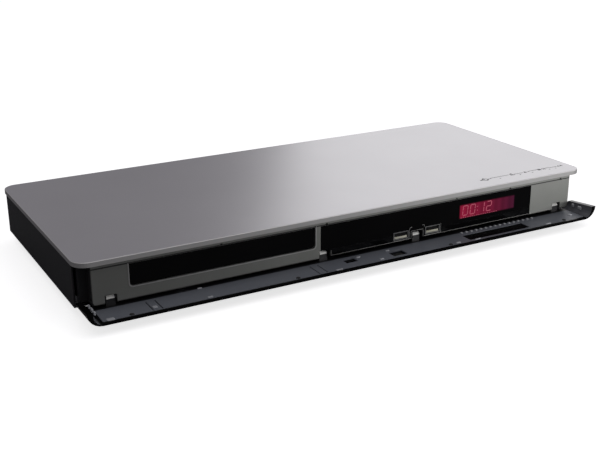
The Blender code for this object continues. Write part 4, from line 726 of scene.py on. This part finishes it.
def ring_mark(bm, x, y, radius, width):
    """A flat ring, made from a circle whose rim is drawn outwards."""
    part = bmesh.new()
    circle = bmesh.ops.create_circle(part, segments=24, radius=radius)
    rim = list({edge for vert in circle["verts"] for edge in vert.link_edges})
    grown = bmesh.ops.extrude_edge_only(part, edges=rim)["geom"]
    outer = [item for item in grown if isinstance(item, bmesh.types.BMVert)]
    bmesh.ops.scale(part, vec=(1 + width / radius, 1 + width / radius, 1), verts=outer)
    join_in(bm, part, on_plate @ Matrix.Translation((x, y, 0)))


def corner_mark(bm, x, y, radius, corners, turn):
    """A filled triangle or square."""
    part = bmesh.new()
    bmesh.ops.create_circle(part, cap_ends=True, segments=corners, radius=radius)
    join_in(bm, part, on_plate @ Matrix.Translation((x, y, 0)) @ Matrix.Rotation(math.radians(turn), 4, "Z"))


ring_mark(bm, 121.6, key_row - 0.3, 1.7, 0.9)
stroke(bm, (121.6, key_row + 0.8), (121.6, key_row + 3.2), 0.9, on_plate)
stroke(bm, (117.6, key_row), (118.6, key_row), 1.6, on_plate)
corner_mark(bm, 148.3, key_row + 1.4, 2.2, 3, 90)
stroke(bm, (146.4, key_row - 1.0), (150.2, key_row - 1.0), 0.9, on_plate)
corner_mark(bm, 161.6, key_row, 2.1, 3, 0)
corner_mark(bm, 176.0, key_row, 2.2, 4, 45)
for x in (179.6, 181.4):
    stroke(bm, (x, key_row - 1.3), (x, key_row + 1.3), 0.9, on_plate)
for x in (196.2, 198.9):
    corner_mark(bm, x, key_row, 1.7, 3, 0)
for x in (134.0, 154.0, 166.4, 184.0, 190.5):
    corner_mark(bm, x, key_row - 3.2, 0.8, 4, 45)
line_steps = (
    [(124.4, 0), (127.0, 0), (127.8, 0.8), (145.2, 0.8)],
    [(151.4, 0.8), (153.0, 0), (158.8, 0)],
    [(164.4, 0), (167.0, 0.8), (173.8, 0.8)],
    [(182.9, 0.8), (186.6, 0.8), (187.4, 0), (193.8, 0)],
)
for run in line_steps:
    for start, end in zip(run, run[1:]):
        stroke(bm, (start[0], key_row + start[1]), (end[0], key_row + end[1]), 0.7, on_plate)
raise_print(bm, (0, 0, 1), ink)
set_down("touch_marks", bm, print_dark, "chassis")

# %% [markdown]
# ## Bright trim on the fascia
# A thin plated lip runs round the tray opening, down both sides and along the
# bottom. It starts as one flat sheet with two rounded corners, is inset by the
# lip's width, and loses its middle and its top edge. A second line of the same
# metal marks the lower edge of the glossy panel and steps round a hinge slot.

# %% Lip round the tray opening
bezel_low, bezel_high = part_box("front_bezel")
face_y = bezel_low.y / mm
tray_mouth = {"x": (-172.3, -36.6), "z": (20.6, 36.0), "corner": 2.5}
lip_width = 0.8
bm = bmesh.new()
left, right_side = tray_mouth["x"]
bottom, top = tray_mouth["z"]
sheet = bm.faces.new([bm.verts.new((x, face_y, z)) for x, z in (
    (left - lip_width, bottom - lip_width), (right_side + lip_width, bottom - lip_width),
    (right_side + lip_width, top + lip_width), (left - lip_width, top + lip_width))])
low_corners = [vert for vert in bm.verts if vert.co.z < bottom]
bmesh.ops.bevel(bm, geom=low_corners, offset=tray_mouth["corner"] + lip_width * 0.5, affect="VERTICES", segments=5,
                profile=0.5, material=-1)
bmesh.ops.inset_region(bm, faces=bm.faces[:], thickness=lip_width, use_even_offset=True, use_boundary=True)
middle = max(bm.faces, key=lambda face: face.calc_area())
bmesh.ops.delete(bm, geom=[middle], context="FACES")
upper = [face for face in bm.faces if face.calc_center_median().z > top]
bmesh.ops.delete(bm, geom=upper, context="FACES")
raise_print(bm, (0, -1, 0), 0.22)
set_down("tray_opening_lip", bm, trim_silver, "chassis")

# %% Line along the glossy panel
panel_low, panel_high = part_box("window_panel")
on_face = Matrix.Translation((0, face_y, 0)) @ Matrix.Rotation(math.pi / 2, 4, "X")
notch = (49.81 - 5.4, 49.81 + 5.4, 18.6)
line_low = bezel_low.z / mm + 1.25
bm = bmesh.new()
route = [(-24.0, 16.4), (-24.0, line_low), (notch[0], line_low), (notch[0], notch[2]),
         (notch[1], notch[2]), (notch[1], line_low), (panel_high.x / mm - 0.4, line_low)]
for start, end in zip(route, route[1:]):
    stroke(bm, start, end, 0.34, on_face)
raise_print(bm, (0, -1, 0), 0.06)
set_down("panel_line", bm, line_silver, "chassis")

# %% Marks beside the two sockets
bm = bmesh.new()
for side, x in ((-1, 43.4), (1, 56.2)):
    stroke(bm, (x, 20.4), (x, 21.6), 0.3, on_face)
    stroke(bm, (x, 21.6), (x - side * 1.8, 21.6), 0.3, on_face)
for low, high in ((29.16, 42.26), (57.36, 70.46)):
    for start, end in (((low - 0.7, 13.2), (high + 0.7, 13.2)), ((high + 0.7, 13.2), (high + 0.7, 20.2))):
        stroke(bm, start, end, 0.22, on_face)
raise_print(bm, (0, -1, 0), 0.03)
set_down("socket_marks", bm, print_pale, "chassis")

# %% [markdown]
# ## The lit display
# Behind the smoked panel stands a display with seven-segment digits. Seen through
# the panel they are soft red bars, so the digits are flat strokes just proud of the
# panel, in a finish that glows a little. A time reading is the plainest thing such
# a display shows.

# %% Seven-segment digits
digit_size = (4.4, 7.4)
segment_ends = {
    "top": ((0, 1), (1, 1)), "middle": ((0, 0.5), (1, 0.5)), "bottom": ((0, 0), (1, 0)),
    "upper_left": ((0, 0.5), (0, 1)), "upper_right": ((1, 0.5), (1, 1)),
    "lower_left": ((0, 0), (0, 0.5)), "lower_right": ((1, 0), (1, 0.5)),
}
lit_segments = {
    "0": ("top", "bottom", "upper_left", "upper_right", "lower_left", "lower_right"),
    "1": ("upper_right", "lower_right"),
    "2": ("top", "middle", "bottom", "upper_right", "lower_left"),
    "8": tuple(segment_ends),
}


def seven_segment(bm, digit, x, z):
    """One digit with slightly slanted strokes that stop short of each other."""
    for name in lit_segments[digit]:
        ends = [(x + u * digit_size[0] + v * 0.6, z + v * digit_size[1]) for u, v in segment_ends[name]]
        reach = Vector(ends[1]) - Vector(ends[0])
        trim = reach.normalized() * 0.65
        stroke(bm, Vector(ends[0]) + trim, Vector(ends[1]) - trim, 0.8, on_face)


bm = bmesh.new()
for place, digit in enumerate("0012"):
    seven_segment(bm, digit, 91.2 + place * 7.0 + (1.6 if place > 1 else 0), 22.6)
for z in (24.6, 27.6):
    stroke(bm, (105.2, z), (105.3, z), 0.7, on_face)
for number in range(17):
    stroke(bm, (89.6 + number * 2.1, 20.9), (90.6 + number * 2.1, 20.9), 0.45, on_face)
raise_print(bm, (0, -1, 0), 0.02)
set_down("display_digits", bm, lit_marks, "chassis")

# %% [markdown]
# ## Painted highlights on the hinge arms
# Each of the flap's four arms turns on a pin in the fascia's slots. A pale half
# tube over the arm's eye is a painted highlight that shows in the slot: a short
# line spun part of a turn round the pin, then given its wall.

# %% Painted highlights on the hinge arms
hinge_axis = (-77.35, 14.3)
hinge_places = (-185.1, -29.5, 49.81, 185.1)
highlight_radius = 2.64
highlight_half_width = 2.7
bm = bmesh.new()
for x in hinge_places:
    part = bmesh.new()
    verts = [part.verts.new((x + side * highlight_half_width, hinge_axis[0] - highlight_radius, hinge_axis[1]))
             for side in (-1, 1)]
    edge = part.edges.new(verts)
    bmesh.ops.spin(part, geom=verts + [edge], cent=(x, *hinge_axis), axis=(1, 0, 0), angle=-math.radians(150),
                   steps=12, use_merge=False)
    bmesh.ops.recalc_face_normals(part, faces=part.faces)
    bmesh.ops.solidify(part, geom=part.faces[:], thickness=0.3)
    join_in(bm, part)
# These pale half tubes are painted highlights on the dark hinge arms.
set_down("painted_hinge_highlights", bm, white_plastic, "flap")

# %% [markdown]
# ## Small fittings on the flap
# The flap's liner is held by clips whose heads stand a little proud, and soft pads
# keep it from rattling when it shuts. They are low blocks with rounded edges.
# Their places were read from the photo, and each one sits on the liner's face.

# %% Clips, pads and bumpers
liner_top = 9.3
clip_places = [(-192.0, -99.5, 5.0, 3.4), (-125.0, -82.0, 3.0, 1.4), (-124.6, -98.6, 3.6, 1.6),
               (-28.2, -100.0, 5.2, 1.4), (-4.7, -86.6, 3.2, 1.3), (8.2, -97.9, 3.2, 1.6),
               (20.5, -86.2, 3.0, 1.3), (75.3, -98.3, 4.0, 1.5), (92.5, -99.4, 5.0, 1.0),
               (161.3, -99.4, 4.4, 1.6), (-161.5, -95.5, 3.0, 3.0), (190.5, -92.0, 3.0, 3.0)]
bm = bmesh.new()
for x, y, width, length in clip_places:
    soft_block(bm, (x - width / 2, x + width / 2), (y - length / 2, y + length / 2),
               (liner_top - 0.1, liner_top + 0.45), edge=0.18)
for side, y, length in ((-1, -83.5, 2.4), (-1, -89.0, 3.6), (-1, -94.5, 2.4), (1, -84.5, 2.4), (1, -92.0, 3.6)):
    wall = side * 200.95
    soft_block(bm, sorted((wall, wall - side * 1.1)), (y - length / 2, y + length / 2), (12.2, 14.6), edge=0.3)
set_down("flap_clips", bm, clip_plastic, "flap")

bm = bmesh.new()
bumper_profile = [(0, 0), (1.5, 0), (1.6, 0.15), (1.4, 0.45), (0.8, 0.6), (0, 0.6)]
for x in (-178.0, -60.0, 68.0, 178.0):
    turned_shape(bm, bumper_profile, facing((x, -99.0, liner_top - 0.05), (0, 0, 1)), steps=18)
set_down("flap_bumpers", bm, rubber, "flap")

# %% [markdown]
# ## Contacts in the front sockets
# A socket's tongue carries four gold contacts under a pale insulating block. The
# block wraps the metal tongue of the solid, and the contacts lie in a row beneath.

# %% Tongues and contacts
bm_tongue, bm_contacts = bmesh.new(), bmesh.new()
for name in ("usb_socket_left", "usb_socket_right"):
    low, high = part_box(name)
    centre = (low.x + high.x) / 2 / mm
    front = low.y / mm
    tongue_low = low.z / mm + 0.62
    soft_block(bm_tongue, (centre - 5.4, centre + 5.4), (front + 0.35, front + 9.5),
               (tongue_low, tongue_low + 1.5), edge=0.12)
    for offset in (-3.5, -1.0, 1.0, 3.5):
        soft_block(bm_contacts, (centre + offset - 0.5, centre + offset + 0.5), (front + 0.6, front + 8.0),
                   (tongue_low + 1.46, tongue_low + 1.56), edge=0.03, steps=1)
set_down("usb_tongues", bm_tongue, cream_plastic, "chassis")
set_down("usb_contacts", bm_contacts, contact_gold, "chassis")

# %% [markdown]
# ## Screws
# The case cover and the bottom are held by small screws with a cross recess. The
# recess starts as a grid of nine faces, whose middle row and column are pushed
# down. The grid's edge is then bridged to a circle, and the circle is drawn out
# and down to form the domed head.

# %% One screw with a cross recess


def cross_screw(bm, place, radius=2.6, height=1.3):
    """A domed head with a cross recess, its seat at z = 0 before it is turned."""
    part = bmesh.new()
    bmesh.ops.create_grid(part, x_segments=3, y_segments=3, size=0.5)
    arm, slot = radius * 0.52, radius * 0.13
    for vert in part.verts:
        for axis in (0, 1):
            value = vert.co[axis]
            vert.co[axis] = math.copysign(arm if abs(value) > 0.3 else slot, value)
        vert.co.z = height
    rim = [edge for edge in part.edges if edge.is_boundary]
    cross = [face for face in part.faces
             if min(abs(face.calc_center_median().x), abs(face.calc_center_median().y)) < slot * 0.5]
    sunk = bmesh.ops.extrude_face_region(part, geom=cross)["geom"]
    bottom = [item for item in sunk if isinstance(item, bmesh.types.BMVert)]
    bmesh.ops.delete(part, geom=cross, context="FACES_ONLY")
    bmesh.ops.translate(part, vec=(0, 0, -height * 0.6), verts=bottom)
    bmesh.ops.scale(part, vec=(0.8, 0.8, 1), verts=bottom)
    circle = bmesh.ops.create_circle(part, segments=12, radius=radius * 0.72,
                                     matrix=Matrix.Translation((0, 0, height * 0.96)))
    ring = list({edge for vert in circle["verts"] for edge in vert.link_edges})
    rim = [edge for edge in rim if edge.is_valid]
    bmesh.ops.bridge_loops(part, edges=rim + ring)
    for scale, drop in ((1.22, 0.22), (1.138, 0.34), (1.0, 0.4)):
        grown = bmesh.ops.extrude_edge_only(part, edges=ring)["geom"]
        verts = [item for item in grown if isinstance(item, bmesh.types.BMVert)]
        ring = [item for item in grown if isinstance(item, bmesh.types.BMEdge)
                and all(vert in verts for vert in item.verts)]
        bmesh.ops.scale(part, vec=(scale, scale, 1), verts=verts)
        bmesh.ops.translate(part, vec=(0, 0, -height * drop), verts=verts)
    bmesh.ops.holes_fill(part, edges=ring, sides=0)
    join_in(bm, part, place)


tab_rear = 100.05
bm = bmesh.new()
for x in (-150.0, 0.0, 150.0):
    cross_screw(bm, facing((x, tab_rear, 33.5), (0, 1, 0)), radius=2.4, height=1.2)
set_down("cover_screws", bm, bare_steel, "chassis", smooth=30)

# %% Screws under the base
base_low, base_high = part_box("base_plate")
base_under = base_low.z / mm
bm = bmesh.new()
for x, y in ((-185.0, -50.0), (185.0, -50.0), (-185.0, 88.0), (185.0, 88.0), (-160.0, 20.0), (-50.0, 20.0),
             (-105.0, 88.0), (20.0, -52.0), (100.0, -52.0)):
    cross_screw(bm, facing((x, y, base_under), (0, 0, -1)), radius=2.6, height=1.2)
set_down("base_screws", bm, bare_steel, "chassis", smooth=30)

# %% [markdown]
# ## Contacts at the rear
# The network socket holds eight sprung wires that slope into it, and the slim
# video socket holds a row of contacts on its tongue. A wire is a short path that
# is drawn sideways to its width and then given its thickness.

# %% Sprung wires and rear contacts


def bent_strip(bm, points, x, width, thick):
    """A thin metal strip that follows (y, z) points, centred on x."""
    part = bmesh.new()
    verts = [part.verts.new((x - width / 2, y, z)) for y, z in points]
    edges = [part.edges.new(pair) for pair in zip(verts, verts[1:])]
    grown = bmesh.ops.extrude_edge_only(part, edges=edges)["geom"]
    bmesh.ops.translate(part, vec=(width, 0, 0), verts=[v for v in grown if isinstance(v, bmesh.types.BMVert)])
    bmesh.ops.solidify(part, geom=part.faces[:], thickness=thick)
    join_in(bm, part)


bm = bmesh.new()
lan_low, lan_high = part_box("lan_socket")
lan_x = (lan_low.x + lan_high.x) / 2 / mm
for number in range(8):
    bent_strip(bm, [(97.0, 25.4), (95.6, 25.0), (91.0, 22.4), (89.4, 22.0)], lan_x - 3.57 + number * 1.02, 0.45, 0.2)
hdmi_low, hdmi_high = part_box("hdmi_socket")
hdmi_x = (hdmi_low.x + hdmi_high.x) / 2 / mm
hdmi_z = (hdmi_low.z + hdmi_high.z) / 2 / mm
for number in range(9):
    for side in (-1, 1):
        x = hdmi_x - 4.0 + number
        soft_block(bm, (x - 0.22, x + 0.22), (89.0, 97.2), sorted((hdmi_z + side * 0.58, hdmi_z + side * 0.7)),
                   edge=0.04, steps=1)
set_down("rear_contacts", bm, contact_gold, "chassis")

bm = bmesh.new()
inlet_low, inlet_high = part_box("ac_inlet")
inlet_x = (inlet_low.x + inlet_high.x) / 2 / mm
inlet_z = (inlet_low.z + inlet_high.z) / 2 / mm
for side in (-1, 1):
    turned_shape(bm, [(0, 0), (1.24, 0), (1.24, 8.0), (0.9, 8.9), (0.5, 9.2), (0, 9.2)],
                 facing((inlet_x + side * 4.3, 87.76, inlet_z), (0, 1, 0)), steps=16)
set_down("inlet_pins", bm, bright_metal, "chassis")

bm = bmesh.new()
optical_low, optical_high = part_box("optical_socket")
optical_x = (optical_low.x + optical_high.x) / 2 / mm
optical_z = (optical_low.z + optical_high.z) / 2 / mm
turned_shape(bm, [(0, 0), (1.6, 0), (1.6, 1.2), (1.2, 1.6), (0.7, 2.2), (0, 2.4)],
             facing((optical_x, 92.74, optical_z), (0, 1, 0)), steps=18)
set_down("optical_lens", bm, red_glass, "chassis")

# %% [markdown]
# ## Thread on the feed screw
# The screw that moves the pickup has a coarse thread. A small triangle is spun
# round the axis many times while it climbs, which draws the ridge in one go, and
# the whole is then laid along the tilted axis.

# %% Feed screw thread
joints = {joint["name"]: joint for joint in frame["joints"]}
tilt = Vector(joints["feed_screw_spin"]["axis"])
screw_place = Vector(joints["feed_screw_spin"]["pos_m"]) / mm
screw_start = screw_place + tilt * (3.6 - screw_place.y) / tilt.y
pitch, turns, steps = 3.0, 14, 20
bm = bmesh.new()
part = bmesh.new()
verts = [part.verts.new(point) for point in ((1.22, 0, -0.55), (1.52, 0, 0), (1.22, 0, 0.55))]
start_face = part.faces.new(verts)
bmesh.ops.spin(part, geom=[start_face], cent=(0, 0, 0), axis=(0, 0, 1), angle=math.tau * turns, steps=turns * steps,
               dvec=(0, 0, pitch / steps))
join_in(bm, part, facing(screw_start, tilt))
set_down("feed_thread", bm, bright_metal, "feed_screw_unit", smooth=50)

# %% [markdown]
# ## Parts on the boards
# Under the cover the boards carry chips with rows of legs, round capacitors, coils
# and a fuse. They are seen only with the cover off or through the vents, so a few
# of each kind stand where such a board has them.

# %% Chips and capacitors on the main board
board_top = 14.6
bm_body, bm_legs, bm_cans = bmesh.new(), bmesh.new(), bmesh.new()
for x, y, width, length in ((84.0, 30.0, 12.0, 12.0), (84.0, 56.0, 9.0, 14.0), (70.0, -10.0, 10.0, 7.0),
                            (-12.0, 62.0, 8.0, 8.0)):
    soft_block(bm_body, (x - width / 2, x + width / 2), (y - length / 2, y + length / 2),
               (board_top + 0.2, board_top + 1.8), edge=0.15)
    count = int(length / 1.3)
    for number in range(count):
        leg_y = y - (count - 1) * 0.65 + number * 1.3
        for side in (-1, 1):
            near = x + side * (width / 2 - 0.1)
            soft_block(bm_legs, sorted((near, near + side * 1.3)), (leg_y - 0.25, leg_y + 0.25),
                       (board_top + 0.02, board_top + 0.5), edge=0.08, steps=1)
can_profile = [(0, 0), (3.2, 0), (3.2, 0.9), (2.9, 1.3), (3.2, 1.7), (3.2, 8.2), (2.8, 8.7), (2.4, 8.5), (0, 8.5)]
for x, y in ((100.0, 0.0), (100.0, 9.0), (100.0, 46.0), (-18.0, 78.0), (-8.0, 80.0), (66.0, 78.0)):
    turned_shape(bm_cans, can_profile, facing((x, y, board_top + 0.05), (0, 0, 1)), steps=20)
set_down("board_chips", bm_body, black_plastic, "chassis")
set_down("board_legs", bm_legs, bright_metal, "chassis")
set_down("board_capacitors", bm_cans, aluminium, "chassis")

# %% Filter parts on the power board
bm = bmesh.new()
soft_block(bm, (176.0, 190.0), (58.0, 66.0), (board_top + 0.1, board_top + 11.0), edge=0.5)
soft_block(bm, (140.0, 156.0), (66.0, 72.0), (board_top + 0.1, board_top + 10.0), edge=0.5)
amber_shell = finish("amber_shell", (0.50, 0.34, 0.05), (0.60, 0.42, 0.08), (0.3, 0.4), depth=0.05)
set_down("filter_capacitors", bm, amber_shell, "chassis")

bm = bmesh.new()
coil_place = Vector((182.0, 78.0, board_top + 6.0))
for number in range(16):
    angle = math.tau * number / 16
    outward = Vector((math.cos(angle), math.sin(angle), 0))
    part = bmesh.new()
    circle = bmesh.ops.create_circle(part, segments=6, radius=0.45)
    rim = list({edge for vert in circle["verts"] for edge in vert.link_edges})
    bmesh.ops.translate(part, vec=(3.0, 0, 0), verts=part.verts)
    bmesh.ops.rotate(part, cent=(0, 0, 0), matrix=Matrix.Rotation(math.pi / 2, 3, "X"), verts=part.verts)
    bmesh.ops.spin(part, geom=part.verts[:] + part.edges[:], cent=(0, 0, 0), axis=(0, 1, 0), angle=math.tau, steps=12,
                   use_merge=True)
    join_in(bm, part, Matrix.Translation(coil_place + outward * 4.6) @ Matrix.Rotation(angle, 4, "Z"))
set_down("filter_coil", bm, copper_wire, "chassis")

# %% [markdown]
# ## Details that show with the tray out
# The turntable has a soft ring on which the disc sits and a cone that centres it,
# and the pickup's lens stands in a dark holder. They are seen in the other poses,
# when the tray has left the player.

# %% Disc ring on the turntable
spin_axis = Vector((0, -0.078459, 0.996917))
table_low, table_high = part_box("turntable")
table_centre = Vector((-104.45, -12.836, 20.174))
bm = bmesh.new()
ring_profile = [(12.2, 0.02), (14.2, 0.02), (14.2, 0.32), (13.9, 0.42), (12.5, 0.42), (12.2, 0.32), (12.2, 0.02)]
part = bmesh.new()
verts = [part.verts.new((radius, 0, height)) for radius, height in ring_profile[:-1]]
edges = [part.edges.new(pair) for pair in zip(verts, verts[1:] + verts[:1])]
bmesh.ops.spin(part, geom=verts + edges, cent=(0, 0, 0), axis=(0, 0, 1), angle=math.tau, steps=48, use_merge=True)
join_in(bm, part, facing(table_centre, spin_axis))
set_down("turntable_ring", bm, rubber, "turntable_unit")
